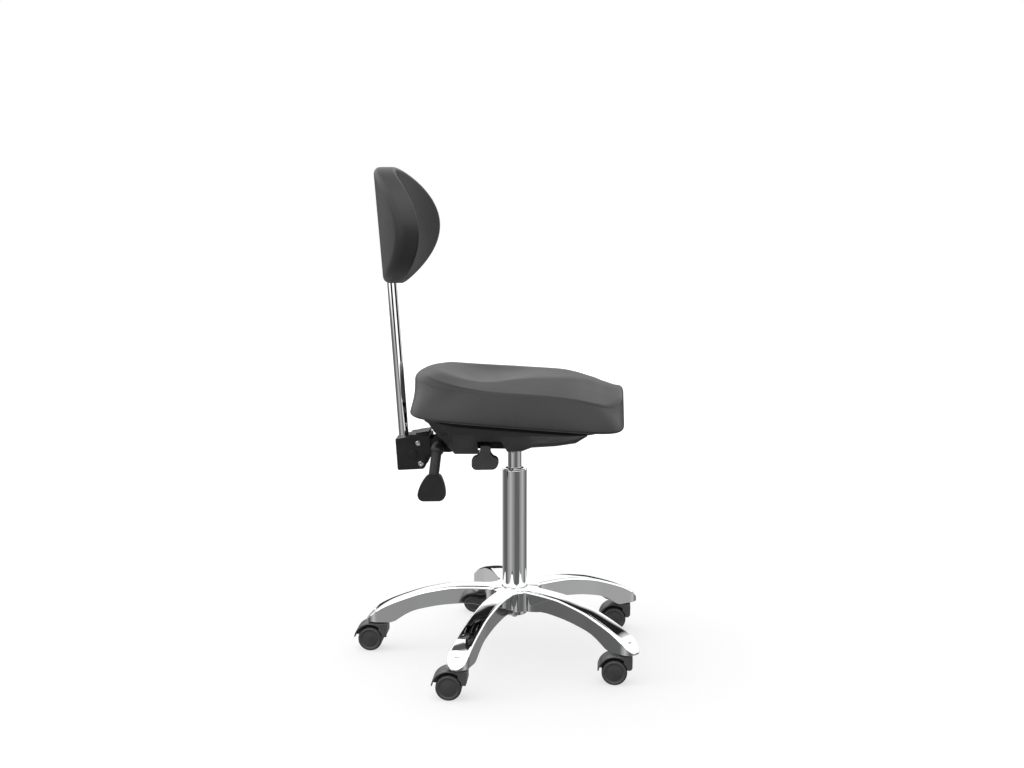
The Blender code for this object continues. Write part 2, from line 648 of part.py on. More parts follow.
def build_cover():
    stations = [(x, bottom) for x, bottom in COVER_SIDE]
    cover = loft([cover_section(x, bottom) for x, bottom in stations])
    made = add_object("mechanism_cover", cover, "cover_plastic", smooth=35)
    wall = 0.0025
    inner = []
    for index, (x, bottom) in enumerate(stations):
        shift = wall if index == 0 else (-wall if index == len(stations) - 1 else 0.0)
        inner.append(cover_section(x + shift, bottom, wall))
    boolean(made, add_object("cover_hollow_cutter", loft(inner), None))
    notch = slab([(-0.0675, 0.40), (-0.0675, 0.4615), (-0.0200, 0.4610), (0.004, 0.40)], -0.20, -0.030)
    boolean(made, add_object("cover_notch_cutter", notch, None))
    rear = box((-0.200, -0.0400, 0.400), (-0.105, 0.0400, 0.4935))
    boolean(made, add_object("cover_rear_cutter", rear, None))
    floor = box((-0.120, -0.0370, 0.400), (0.030, 0.0370, 0.4480))
    boolean(made, add_object("cover_floor_cutter", floor, None))


# ---- levers ------------------------------------------------------------------------------------

def build_lift_lever():
    """Height lever: steel finger over the gas button, and a plastic paddle outside the cover."""
    pivot = (LIFT_LEVER_X, LIFT_PIVOT_Y, LIFT_PIVOT_Z)
    x = LIFT_LEVER_X
    low = BUTTON_TOP + GAP
    finger = slab([(0.006, -0.006), (0.006, 0.006), (x + 0.006, 0.006), (x - 0.006, 0.006),
                   (x - 0.006, -0.0295), (x + 0.006, -0.0295), (x + 0.006, -0.006)],
                  low, low + 0.003, "XY")
    made = add_object("lift_lever_arm", finger, "steel", origin=pivot, smooth=35)
    web = box((x - 0.0055, -0.0296, 0.459), (x + 0.0055, -0.0266, low + 0.0025))
    boolean(made, add_object("lift_web_guide", web, None), "UNION")
    bar = rod(0.004, (x, -0.0285, LIFT_PIVOT_Z - 0.001), (x, -0.0760, 0.4500), 12)
    boolean(made, add_object("lift_bar_guide", bar, None), "UNION")

    face = rounded([(-0.078, 0.404, 0.010), (-0.026, 0.4055, 0.012), (-0.0255, 0.4280, 0.008),
                    (-0.042, 0.4330, 0.006), (-0.0425, 0.4530, 0.003), (-0.0615, 0.4530, 0.003),
                    (-0.062, 0.4340, 0.006), (-0.0785, 0.4290, 0.008)], 4)
    paddle = slab(face, -0.0920, -0.0780)
    for vert in paddle.verts:
        drop = max(0.0, 0.450 - vert.co.z)
        vert.co.y -= drop * 0.20
    made = add_object("lift_lever_paddle", paddle, "lever_plastic", origin=pivot, smooth=35)
    hole = rod(0.004 + GAP, (x, -0.0285, LIFT_PIVOT_Z - 0.001), (x, -0.0764, 0.4499), 12)
    boss = rod(0.0075, (x, -0.0620, 0.4538), (x, -0.0850, 0.4475), 16)
    boolean(made, add_object("lift_boss_guide", boss, None, origin=(0, 0, 0)), "UNION")
    boolean(made, add_object("lift_hole_cutter", hole, None))


def build_tilt_lever():
    """Backrest lock lever: a cross shaft, and a plastic arm that turns down to a spade paddle."""
    pivot = (SHAFT_X, 0.0, SHAFT_Z)
    shaft = rod(0.005, (SHAFT_X, -0.0660, SHAFT_Z), (SHAFT_X, 0.0390, SHAFT_Z), 16)
    add_object("tilt_lock_shaft", shaft, "steel", origin=pivot, smooth=35)

    boss = rod(0.0125, (SHAFT_X, -0.0370, SHAFT_Z), (SHAFT_X, -0.0800, SHAFT_Z), 24)
    made = add_object("tilt_lever_paddle", boss, "lever_plastic", origin=pivot, smooth=35)
    arm = rod(0.0105, (SHAFT_X, -0.0760, SHAFT_Z + 0.004), (SHAFT_X - 0.006, -0.0860, 0.372), 20)
    boolean(made, add_object("tilt_arm_guide", arm, None), "UNION")
    spade = rounded([(-0.184, 0.340, 0.014), (-0.134, 0.340, 0.014), (-0.129, 0.368, 0.012),
                     (-0.143, 0.392, 0.010), (-0.166, 0.392, 0.010), (-0.185, 0.366, 0.012)], 4)
    blade = slab(spade, -0.0925, -0.0785)
    boolean(made, add_object("tilt_spade_guide", blade, None), "UNION")
    hole = rod(0.005 + GAP, (SHAFT_X, -0.0300, SHAFT_Z), (SHAFT_X, -0.0665, SHAFT_Z), 16)
    boolean(made, add_object("tilt_hole_cutter", hole, None))


# ---- backrest ----------------------------------------------------------------------------------

def lean(bm):
    """Turn pieces drawn upright on the tube's foot into the backrest's lean."""
    turn = Matrix.Rotation(-TUBE_LEAN, 4, "Y")
    move = Matrix.Translation((BACK_TUBE_X, 0.0, BACK_TUBE_Z))
    bmesh.ops.transform(bm, matrix=move @ turn, verts=bm.verts)
    return bm


BOLT_PLACES = [(0.0325, -0.0165), (0.0350, -0.0585)]


def build_back_bracket():
    """Pieces drawn in the leaning frame of the tube: x forward, z up along the tube."""
    pivot = (PIVOT_X, 0.0, PIVOT_Z)
    side = rounded([(-0.0135, -0.0700, 0.003), (0.0430, -0.0700, 0.007), (0.0450, -0.0450, 0.004),
                    (0.0570, -0.0400, 0.006), (0.0570, -0.0020, 0.004), (0.0300, -0.0010, 0),
                    (-0.0135, -0.0060, 0)], 3)
    bracket = lean(slab(side, -0.0300, 0.0300))
    made = add_object("back_bracket", bracket, "black_sheet", origin=pivot, smooth=35)
    hollow = lean(box((-0.0108, -0.0272, -0.0900), (0.0900, 0.0272, -0.0095)))
    boolean(made, add_object("bracket_hollow_cutter", hollow, None))
    above = lean(rod(BACK_TUBE_R + GAP, (0, 0, -0.03), (0, 0, 0.05), 24))
    boolean(made, add_object("bracket_tube_cutter", above, None))

    arm_side = rounded([(0.0240, -0.0695, 0.004), (0.0410, -0.0695, 0.005), (0.0560, -0.0420, 0.010),
                        (0.0900, -0.0270, 0.010), (0.1180, -0.0060, 0.010), (0.1130, 0.0130, 0.009),
                        (0.0900, 0.0080, 0.010), (0.0600, -0.0105, 0.004), (0.0240, -0.0105, 0.002)], 3)
    arm = lean(slab(arm_side, -0.0268, 0.0268))
    made = add_object("back_arm", arm, "black_sheet", origin=pivot, smooth=35)
    hollow = lean(box((0.0268, -0.0238, -0.0900), (0.1500, 0.0238, 0.0400)))
    boolean(made, add_object("arm_hollow_cutter", hollow, None))
    slot_angles = [math.radians(angle) for angle in (-14, -7, 0, 7, 14, 20)]
    holes = rod(0.005 + GAP, (PIVOT_X, -0.06, PIVOT_Z), (PIVOT_X, 0.06, PIVOT_Z), 16)
    boolean(made, add_object("arm_pivot_cutter", holes, None))
    offset = Vector((SHAFT_X - PIVOT_X, 0.0, SHAFT_Z - PIVOT_Z))
    path = [offset.copy() for _ in slot_angles]
    for point, angle in zip(path, slot_angles):
        point.rotate(Matrix.Rotation(angle, 3, "Y"))
    inner_r = offset.length - 0.0060
    outer_r = offset.length + 0.0060
    unit = [point.normalized() for point in path]
    curve = [(PIVOT_X + way.x * outer_r, PIVOT_Z + way.z * outer_r) for way in unit]
    curve += [(PIVOT_X + way.x * inner_r, PIVOT_Z + way.z * inner_r) for way in reversed(unit)]
    slot = slab(curve, -0.06, 0.06)
    boolean(made, add_object("arm_slot_cutter", slot, None))

    bolts = bmesh.new()
    for x, z in BOLT_PLACES:
        join(bolts, rod(0.003 + GAP, (x, -0.06, z), (x, 0.06, z), 12))
    for name in ("back_bracket", "back_arm"):
        copy = bolts.copy()
        cutter = add_object(f"{name}_bolt_cutter", lean(copy), None)
        boolean(bpy.data.objects[name], cutter)
    bolts.free()

    face = 0.0300 + GAP
    for name, (x, z) in zip(("upper", "lower"), BOLT_PLACES):
        bolt = solid_lathe([(0.0, -0.0385), (0.003, -0.0385), (0.003, face), (0.0052, face),
                            (0.0052, face + 0.0040), (0.0044, face + 0.0048), (0.0024, face + 0.0048),
                            (0.0024, face + 0.0024), (0.0, face + 0.0024)], 16)
        place(bolt, 90.0, "X", (x, 0.0, z))
        add_object(f"bracket_bolt_{name}", lean(bolt), "bright_steel", origin=pivot, smooth=35)
        nut_hole = (0.003 + GAP) / math.cos(math.pi / 6)
        nut = lathe([(nut_hole, face), (0.0062, face), (0.0062, face + 0.005),
                     (nut_hole, face + 0.005)], 6)
        place(nut, -90.0, "X", (x, 0.0, z))
        add_object(f"bracket_nut_{name}", lean(nut), "bright_steel", origin=pivot)

    guide = lean(box((-0.0102, -0.0265, -0.0650), (0.0235, 0.0265, -0.0098)))
    made = add_object("tube_guide", guide, "bush_plastic", origin=pivot, smooth=35)
    bore = lean(rod(BACK_TUBE_R + 0.0003, (0, 0, -0.10), (0, 0, 0.05), 24))
    boolean(made, add_object("guide_bore_cutter", bore, None))


def build_back_tube():
    """Chrome tube, open at both ends, and the steel plate at its top inside the pad."""
    low = BACK_TUBE_BOTTOM
    high = BACK_TUBE_TOP
    inner = BACK_TUBE_R - 0.0015
    tube = lathe([(BACK_TUBE_R, high), (BACK_TUBE_R, low), (inner, low), (inner, high)], 24)
    origin = (BACK_TUBE_X, 0.0, BACK_TUBE_Z)
    add_object("back_tube", lean(tube), "chrome", origin=origin, smooth=35)
    edge = BACK_TUBE_R + GAP
    plate = lean(box((edge, -0.045, 0.335), (edge + 0.003, 0.045, 0.425)))
    add_object("pad_plate", plate, "steel", origin=origin)


def pad_point(across, up, depth):
    """Point of the pad: across and up from its centre, depth from its middle towards the front."""
    rise = up * math.cos(PAD_LEAN)
    bow = PAD_WING * (across / PAD_HALF_WIDTH) ** 2
    x = PAD_CENTRE_X - up * math.sin(PAD_LEAN) + bow + depth
    return (x, across, PAD_CENTRE_Z + rise)


def pad_ring(share, depth, count=36):
    ring = []
    for step in range(count):
        turn = math.tau * step / count
        ring.append(pad_point(PAD_HALF_WIDTH * share * math.cos(turn),
                              PAD_HALF_HEIGHT * share * math.sin(turn), depth))
    return ring


def build_pad():
    half = PAD_THICKNESS / 2
    rings = [pad_ring(0.30, -half), pad_ring(0.65, -half), pad_ring(0.90, -half),
             pad_ring(0.975, -half + 0.004), pad_ring(1.0, -half + 0.013), pad_ring(1.0, half - 0.013),
             pad_ring(0.975, half - 0.004), pad_ring(0.90, half), pad_ring(0.65, half),
             pad_ring(0.30, half)]
    origin = (BACK_TUBE_X, 0.0, BACK_TUBE_Z)
    made = add_object("back_pad", loft(rings), "upholstery", origin=origin, smooth=40)
    bore = lean(rod(BACK_TUBE_R + GAP, (0, 0, 0.25), (0, 0, BACK_TUBE_TOP + GAP), 24))
    boolean(made, add_object("pad_bore_cutter", bore, None))
    edge = BACK_TUBE_R
    pocket = lean(box((edge - 0.006, -0.0453, 0.3347), (edge + 0.0036, 0.0453, 0.4253)))
    boolean(made, add_object("pad_pocket_cutter", pocket, None))


def build():
    clear_scene()
    stool = bpy.data.objects.new("stool", None)
    bpy.context.collection.objects.link(stool)
    stool.location = (COLUMN_X, 0.0, 0.0)
    build_star_base()
    for number, angle in enumerate(arm_angles(), 1):
        build_castor(number, angle)
    build_column()
    build_rod()
    build_gas_cylinder()
    build_seat_cushion()
    build_seat_board()
    build_housing()
    build_cover()
    build_lift_lever()
    build_tilt_lever()
    build_back_bracket()
    build_back_tube()
    build_pad()
    bpy.context.view_layer.update()


build()
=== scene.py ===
import math

import bmesh
import bpy
from mathutils import Matrix, Vector


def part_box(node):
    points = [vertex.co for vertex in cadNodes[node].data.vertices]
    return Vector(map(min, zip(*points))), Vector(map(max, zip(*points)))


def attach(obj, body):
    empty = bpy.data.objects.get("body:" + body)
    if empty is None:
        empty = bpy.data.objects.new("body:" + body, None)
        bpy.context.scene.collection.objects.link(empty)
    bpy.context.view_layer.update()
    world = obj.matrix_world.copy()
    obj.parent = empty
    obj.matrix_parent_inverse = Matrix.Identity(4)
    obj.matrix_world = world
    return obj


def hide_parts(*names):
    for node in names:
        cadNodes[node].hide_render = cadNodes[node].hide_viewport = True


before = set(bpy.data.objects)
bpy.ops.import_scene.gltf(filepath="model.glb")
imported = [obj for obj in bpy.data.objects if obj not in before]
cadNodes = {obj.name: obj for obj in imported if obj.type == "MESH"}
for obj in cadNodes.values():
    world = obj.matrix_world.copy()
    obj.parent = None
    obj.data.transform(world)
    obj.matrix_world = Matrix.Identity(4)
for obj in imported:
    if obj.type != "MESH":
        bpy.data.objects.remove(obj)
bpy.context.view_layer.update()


def middleOf(node):
    low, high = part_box(node)
    return (low + high) / 2


column = middleOf("column_tube")
column.z = 0.0  # foot of the column axis, where most lengths start


def readCurve(points, at):
    # smooth reading of a few (place, value) pairs
    if at <= points[0][0]:
        return points[0][1]
    for index in range(len(points) - 1):
        low, first = points[index]
        high, second = points[index + 1]
        if at > high:
            continue
        slopes = []
        for near in (index, index + 1):
            before = points[max(near - 1, 0)]
            after = points[min(near + 1, len(points) - 1)]
            slopes.append((after[1] - before[1]) / (after[0] - before[0]))
        span = high - low
        part = (at - low) / span
        square = part * part
        cube = square * part
        return ((2 * cube - 3 * square + 1) * first + (cube - 2 * square + part) * span * slopes[0]
                + (3 * square - 2 * cube) * second + (cube - square) * span * slopes[1])
    return points[-1][1]


# materials: every pattern reads Object coordinates, in metres

def startMaterial(name, colour, roughness, metallic=0.0, **sockets):
    material = bpy.data.materials.new(name)
    material.use_nodes = True
    shader = material.node_tree.nodes["Principled BSDF"]
    shader.inputs["Base Color"].default_value = (*colour, 1.0)
    shader.inputs["Roughness"].default_value = roughness
    shader.inputs["Metallic"].default_value = metallic
    for socket, value in sockets.items():
        shader.inputs[socket.replace("_", " ")].default_value = value
    place = material.node_tree.nodes.new("ShaderNodeTexCoord")
    place.name = "place"
    return material


def addNoise(material, scale, detail=3.0, stretch=(1.0, 1.0, 1.0), cells=False):
    tree = material.node_tree
    mapping = tree.nodes.new("ShaderNodeMapping")
    mapping.inputs["Scale"].default_value = stretch
    tree.links.new(tree.nodes["place"].outputs["Object"], mapping.inputs["Vector"])
    if cells:
        noise = tree.nodes.new("ShaderNodeTexVoronoi")
        noise.feature = "SMOOTH_F1"
        noise.inputs["Scale"].default_value = scale
        tree.links.new(mapping.outputs["Vector"], noise.inputs["Vector"])
        return noise.outputs["Distance"]
    noise = tree.nodes.new("ShaderNodeTexNoise")
    noise.inputs["Scale"].default_value = scale
    noise.inputs["Detail"].default_value = detail
    tree.links.new(mapping.outputs["Vector"], noise.inputs["Vector"])
    return noise.outputs["Fac"]


def addRange(owner, source, low, high, start=0.3, end=0.7):
    # owner is a material or the world
    tree = owner.node_tree
    node = tree.nodes.new("ShaderNodeMapRange")
    node.inputs["From Min"].default_value = start
    node.inputs["From Max"].default_value = end
    node.inputs["To Min"].default_value = low
    node.inputs["To Max"].default_value = high
    tree.links.new(source, node.inputs["Value"])
    return node.outputs["Result"]


def varyRoughness(material, source, low, high):
    tree = material.node_tree
    shader = tree.nodes["Principled BSDF"]
    tree.links.new(addRange(material, source, low, high), shader.inputs["Roughness"])


def varyColour(material, source, dark, light, start=0.3, end=0.7):
    tree = material.node_tree
    shader = tree.nodes["Principled BSDF"]
    ramp = tree.nodes.new("ShaderNodeValToRGB")
    ramp.color_ramp.elements[0].position = start
    ramp.color_ramp.elements[0].color = (*dark, 1.0)
    ramp.color_ramp.elements[1].position = end
    ramp.color_ramp.elements[1].color = (*light, 1.0)
    tree.links.new(source, ramp.inputs["Fac"])
    tree.links.new(ramp.outputs["Color"], shader.inputs["Base Color"])


def addBump(material, source, distance, strength=1.0):
    # each call lays a finer relief over the one before
    tree = material.node_tree
    shader = tree.nodes["Principled BSDF"]
    bump = tree.nodes.new("ShaderNodeBump")
    bump.inputs["Distance"].default_value = distance
    bump.inputs["Strength"].default_value = strength
    tree.links.new(source, bump.inputs["Height"])
    if shader.inputs["Normal"].links:
        tree.links.new(shader.inputs["Normal"].links[0].from_socket, bump.inputs["Normal"])
    tree.links.new(bump.outputs["Normal"], shader.inputs["Normal"])


def polishedCasting():
    material = startMaterial("polishedCasting", (0.90, 0.905, 0.91), 0.04, 1.0)
    varyRoughness(material, addNoise(material, 14.0, 4.0), 0.025, 0.060)
    addBump(material, addNoise(material, 500.0, 2.0), 0.00001, 0.05)
    return material


def chromedTube(name, brightness=0.86, roughness=0.07):
    colour = (brightness, brightness * 1.005, brightness * 1.01)
    material = startMaterial(name, colour, roughness, 1.0)
    varyRoughness(material, addNoise(material, 30.0, 3.0), roughness * 0.75, roughness * 1.3)
    addBump(material, addNoise(material, 1200.0, 2.0, (1.0, 1.0, 0.03)), 0.00002, 0.2)
    return material


def moulded(name, dark, light, roughness, grain, depth):
    # moulded plastic with a spark-eroded grain and faint flow marks
    material = startMaterial(name, light, roughness)
    varyColour(material, addNoise(material, 35.0, 4.0), dark, light)
    varyRoughness(material, addNoise(material, 60.0, 3.0), roughness - 0.06, roughness + 0.06)
    addBump(material, addNoise(material, 45.0, 2.0), 0.0004, 0.08)
    addBump(material, addNoise(material, grain, 2.0), depth, 0.5)
    return material


def powderCoat():
    material = startMaterial("blackPowderCoat", (0.012, 0.012, 0.0125), 0.42, 0.0, Specular_IOR_Level=0.35)
    varyRoughness(material, addNoise(material, 50.0, 3.0), 0.34, 0.50)
    addBump(material, addNoise(material, 420.0, 2.0), 0.00022, 0.45)
    varyColour(material, addNoise(material, 25.0, 5.0), (0.010, 0.010, 0.011), (0.016, 0.016, 0.017))
    return material


def cushionSkin():
    # skin of moulded foam: pebble grain with fine pores, rubbed a little smoother in patches
    material = startMaterial("cushionSkin", (0.027, 0.027, 0.0274), 0.5, 0.0, Sheen_Weight=0.03,
                             Sheen_Roughness=0.5, Specular_IOR_Level=0.34)
    varyColour(material, addNoise(material, 18.0, 5.0), (0.027, 0.027, 0.0274), (0.033, 0.033, 0.0334))
    varyRoughness(material, addNoise(material, 9.0, 4.0), 0.40, 0.50)
    addBump(material, addNoise(material, 12.0, 2.0), 0.0015, 0.12)
    addBump(material, addNoise(material, 750.0, 2.0, cells=True), 0.00035, 0.35)
    addBump(material, addNoise(material, 2600.0, 2.0), 0.0001, 0.3)
    return material


def plainSteel(name, colour, roughness):
    material = startMaterial(name, colour, roughness, 1.0)
    varyRoughness(material, addNoise(material, 120.0, 4.0), roughness - 0.08, roughness + 0.10)
    addBump(material, addNoise(material, 900.0, 3.0, (1.0, 1.0, 0.2)), 0.00006, 0.4)
    varyColour(material, addNoise(material, 40.0, 4.0), [0.85 * part for part in colour], colour)
    return material


def stainedPly():
    material = startMaterial("stainedPly", (0.012, 0.012, 0.012), 0.6, 0.0, Specular_IOR_Level=0.15)
    varyColour(material, addNoise(material, 60.0, 5.0, (0.15, 1.0, 1.0)), (0.003, 0.003, 0.003),
               (0.008, 0.008, 0.008))
    addBump(material, addNoise(material, 220.0, 4.0, (0.08, 1.0, 1.0)), 0.0003, 0.35)
    return material


casting = polishedCasting()
tubeChrome = chromedTube("tubeChrome")
backChrome = chromedTube("backTubeChrome", 0.9, 0.035)
cylinderChrome = chromedTube("cylinderChrome", 0.88, 0.06)
coverPlastic = moulded("coverPlastic", (0.026, 0.027, 0.027), (0.034, 0.035, 0.035), 0.48, 900.0, 0.00012)
leverPlastic = moulded("leverPlastic", (0.011, 0.011, 0.011), (0.016, 0.016, 0.016), 0.42, 1100.0, 0.00008)
hoodPlastic = moulded("hoodPlastic", (0.066, 0.067, 0.070), (0.080, 0.081, 0.085), 0.40, 1200.0, 0.00008)
wheelPlastic = moulded("wheelPlastic", (0.042, 0.042, 0.043), (0.052, 0.052, 0.054), 0.42, 800.0, 0.0001)
bushPlastic = moulded("bushPlastic", (0.008, 0.008, 0.008), (0.012, 0.012, 0.012), 0.5, 700.0, 0.0001)
rubberBlack = moulded("rubberBlack", (0.010, 0.010, 0.010), (0.016, 0.016, 0.015), 0.8, 500.0, 0.0002)
coat = powderCoat()
skin = cushionSkin()
ply = stainedPly()
darkSteel = plainSteel("darkSteel", (0.30, 0.30, 0.31), 0.34)
zincSteel = plainSteel("zincSteel", (0.88, 0.88, 0.89), 0.26)
print("materials ready")


# mesh tools

def makePiece(name, bm, material, body, replaced=(), sharpAngle=32.0, modifiers=(),
              flatten=True):
    bmesh.ops.remove_doubles(bm, verts=bm.verts, dist=0.00001)
    bmesh.ops.recalc_face_normals(bm, faces=bm.faces)
    mesh = bpy.data.meshes.new(name)
    bm.to_mesh(mesh)
    bm.free()
    mesh.shade_smooth()
    mesh.set_sharp_from_angle(angle=math.radians(sharpAngle))
    mesh.materials.append(material)
    piece = bpy.data.objects.new(name, mesh)
    bpy.context.scene.collection.objects.link(piece)
    for add in modifiers:
        add(piece)
    if flatten:
        weighted = piece.modifiers.new("flatNormals", "WEIGHTED_NORMAL")
        weighted.keep_sharp = True
    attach(piece, body)
    if replaced:
        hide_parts(*replaced)
    return piece


def vertsOf(made):
    return [item for item in made if isinstance(item, bmesh.types.BMVert)]


def edgesOf(made):
    return [item for item in made if isinstance(item, bmesh.types.BMEdge)]


def moveAll(bm, offset, turn=None):
    if turn is not None:
        bmesh.ops.transform(bm, matrix=turn, verts=bm.verts)
    bmesh.ops.translate(bm, verts=bm.verts, vec=offset)
    return bm


def joinInto(bm, other):
    spare = bpy.data.meshes.new("spare")
    other.to_mesh(spare)
    other.free()
    bm.from_mesh(spare)
    bpy.data.meshes.remove(spare)


def roundEdges(bm, edges, width, segments=3):
    bmesh.ops.bevel(bm, geom=edges, offset=width, offset_type="OFFSET", affect="EDGES",
                    segments=segments, profile=0.5, material=-1, clamp_overlap=True)


def roundCorners(bm, verts, width, segments):
    bmesh.ops.bevel(bm, geom=verts, offset=width, offset_type="OFFSET", affect="VERTICES",
                    segments=segments, profile=0.5, material=-1)


def softenEdges(bm, width, segments=3, overAngle=28.0):
    limit = math.radians(overAngle)
    chosen = [edge for edge in bm.edges
              if len(edge.link_faces) == 2 and edge.calc_face_angle(0.0) > limit]
    roundEdges(bm, chosen, width, segments)


def spinProfile(profile, steps=96, closed=True):
    # (radius, height) points turned round Z
    bm = bmesh.new()
    points = [bm.verts.new((radius, 0.0, height)) for radius, height in profile]
    edges = [bm.edges.new(pair) for pair in zip(points, points[1:])]
    if closed:
        edges.append(bm.edges.new((points[-1], points[0])))
    bmesh.ops.spin(bm, geom=points + edges, cent=(0, 0, 0), axis=(0, 0, 1), angle=math.tau,
                   steps=steps, use_merge=True, use_duplicate=False)
    bmesh.ops.remove_doubles(bm, verts=bm.verts, dist=0.00001)
    bmesh.ops.recalc_face_normals(bm, faces=bm.faces)
    return bm


def cutPlate(corners, low, high, segments=6):
    # flat plate standing in XZ from y = low to high; each corner is (x, z, rounding)
    bm = bmesh.new()
    verts = [bm.verts.new((x, low, z)) for x, z, rounding in corners]
    bm.faces.new(verts)
    for vert, (x, z, rounding) in zip(verts, corners):
        if rounding:
            roundCorners(bm, [vert], rounding, segments)
    grown = bmesh.ops.extrude_face_region(bm, geom=list(bm.faces))
    bmesh.ops.translate(bm, verts=vertsOf(grown["geom"]), vec=(0, high - low, 0))
    bmesh.ops.recalc_face_normals(bm, faces=bm.faces)
    return bm


def roundBar(radius, start, end, segments=48):
    low, high = Vector(start), Vector(end)
    span = high - low
    bm = bmesh.new()
    bmesh.ops.create_cone(bm, cap_ends=True, segments=segments, radius1=radius, radius2=radius,
                          depth=span.length)
    turn = Vector((0, 0, 1)).rotation_difference(span).to_matrix().to_4x4()
    return moveAll(bm, (low + high) / 2, turn)


def onDisc(vert):
    # a square grid's point moved onto a round disc, closer together near the edge
    u = math.sin(vert.co.x * math.pi)
    v = math.sin(vert.co.y * math.pi)
    return u * math.sqrt(1 - v * v / 2), v * math.sqrt(1 - u * u / 2)


def softMin(first, second, soft):
    near = max(soft - abs(first - second), 0.0) / soft
    return min(first, second) - near * near * soft / 4


def refinedCopy(name, node, material, body, width, segments=2, overAngle=28.0):
    # the CAD shape with its edges broken by a small round
    bm = bmesh.new()
    bm.from_mesh(cadNodes[node].data)
    bmesh.ops.remove_doubles(bm, verts=bm.verts, dist=0.00002)
    bmesh.ops.dissolve_limit(bm, angle_limit=math.radians(1.0), verts=bm.verts, edges=bm.edges,
                             delimit=set())

    def breakEdges(piece):
        rounding = piece.modifiers.new("brokenEdges", "BEVEL")
        rounding.width = width
        rounding.segments = segments
        rounding.limit_method = "ANGLE"
        rounding.angle_limit = math.radians(overAngle)
        rounding.use_clamp_overlap = True

    return makePiece(name, bm, material, body, [node], modifiers=[breakEdges])


# five-arm base: one arm's top is a grid from the hub's bore to its tip

starSettings = {
    "arms": 5,
    "firstAngle": 36.0,
    "boreRadius": 0.0262,
    "halfWidth": 0.0190,
    "tipHalfWidth": 0.0215,
    "webRadius": 0.024,
    "facetStart": 0.2835,
    "tip": 0.3078,
    "crown": 0.0012,
    "edgeRound": 0.0050,
    "facetRound": 0.0020,
    "wall": 0.004,
    "columns": 64,
    "support": 0.0008,
    "rowBend": 1.6,
    "webStart": 0.043,
    "webLength": 0.0235,
    "webSteps": 7,
    "rows": [0.072, 0.085, 0.100, 0.115, 0.130, 0.145, 0.160, 0.175, 0.188, 0.200, 0.212, 0.224, 0.235,
             0.246, 0.256, 0.265, 0.273, 0.279, 0.2835],
    "tipRows": [0.14, 0.30, 0.46, 0.60, 0.72, 0.82, 0.90, 0.955, 0.985],
    "tipRoundness": 2.4,
    "widenFrom": 0.2,
    "boreLevel": 0.14,
    "boreRound": 0.0012,
    "socketReach": 0.279,
    "socket": [(0.0060, 0.0627), (0.0112, 0.0627), (0.0122, 0.0640), (0.0130, 0.0840), (0.0060, 0.0840)],
    "top": [(0.02, 0.1425), (0.06, 0.1435), (0.09, 0.1435), (0.126, 0.1420), (0.153, 0.1375),
            (0.188, 0.1300), (0.217, 0.1205), (0.250, 0.1080), (0.270, 0.0985), (0.2835, 0.0905)],
    "foot": [(0.02, 0.099), (0.06, 0.1010), (0.091, 0.1065), (0.146, 0.1025), (0.178, 0.0965),
             (0.205, 0.0895), (0.219, 0.0835), (0.232, 0.0755), (0.243, 0.0680), (0.251, 0.0628),
             (0.258, 0.0625), (0.310, 0.0625)],
    "facetSlope": 0.98,
    "tipPower": 2.3,
}


def armReach(point):
    # how far along the nearest arm a point lies
    step = math.tau / starSettings["arms"]
    turn = math.atan2(point.y, point.x) - math.radians(starSettings["firstAngle"])
    off = turn - step * round(turn / step)
    return math.hypot(point.x, point.y) * math.cos(off)


def starRows():
    # (x of the row's middle, its edge point) from hub to tip
    settings = starSettings
    half = math.pi / settings["arms"]
    radius = settings["webRadius"]
    toCentre = (settings["halfWidth"] + radius) / math.sin(half)
    centre = Vector((math.cos(half), math.sin(half))) * toCentre
    rows = []
    for step in range(settings["webSteps"] + 1):
        part = step / settings["webSteps"]
        turn = math.pi + half + part * (math.pi / 2 - half)
        edge = centre + Vector((math.cos(turn), math.sin(turn))) * radius
        rows.append((settings["webStart"] + settings["webLength"] * part, edge))
    for reach in settings["rows"]:
        widen = max(0.0, reach - settings["widenFrom"]) / (settings["facetStart"] - settings["widenFrom"])
        width = settings["halfWidth"] + (settings["tipHalfWidth"] - settings["halfWidth"]) * widen
        rows.append((reach, Vector((reach, width))))
    length = settings["tip"] - settings["facetStart"]
    for part in settings["tipRows"]:
        reach = settings["facetStart"] + length * part
        width = settings["tipHalfWidth"] * math.sqrt(1 - part ** settings["tipRoundness"])
        rows.append((reach, Vector((reach, width))))
    return rows


def starTop(reach, across, half):
    # height of the top: crowned with rolled edges, then a flat facet down to the tip
    settings = starSettings
    past = (reach - settings["facetStart"]) / (settings["tip"] - settings["facetStart"])
    if past <= 0:
        depth = (1 - abs(across)) * half
        drop = roundDrop(depth, settings["edgeRound"])
        return readCurve(settings["top"], reach) - settings["crown"] * across ** 2 - drop
    power = settings["tipPower"]
    wide = across * half / settings["tipHalfWidth"]
    inside = 1 - past ** power - wide ** 2
    slopeAlong = power * past ** (power - 1) / (settings["tip"] - settings["facetStart"])
    slopeAcross = 2 * abs(wide) / settings["tipHalfWidth"]
    depth = inside / math.hypot(slopeAlong, slopeAcross, 1.0)
    level = readCurve(settings["top"], settings["facetStart"]) - settings["crown"] / 2
    return (level - (reach - settings["facetStart"]) * settings["facetSlope"]
            - roundDrop(depth, settings["facetRound"]))


def roundDrop(depth, radius):
    # fall of a rounded edge at a depth in from its outline
    if depth >= radius:
        return 0.0
    left = radius - max(depth, 0.0)
    return radius - math.sqrt(max(radius * radius - left * left, 0.0))


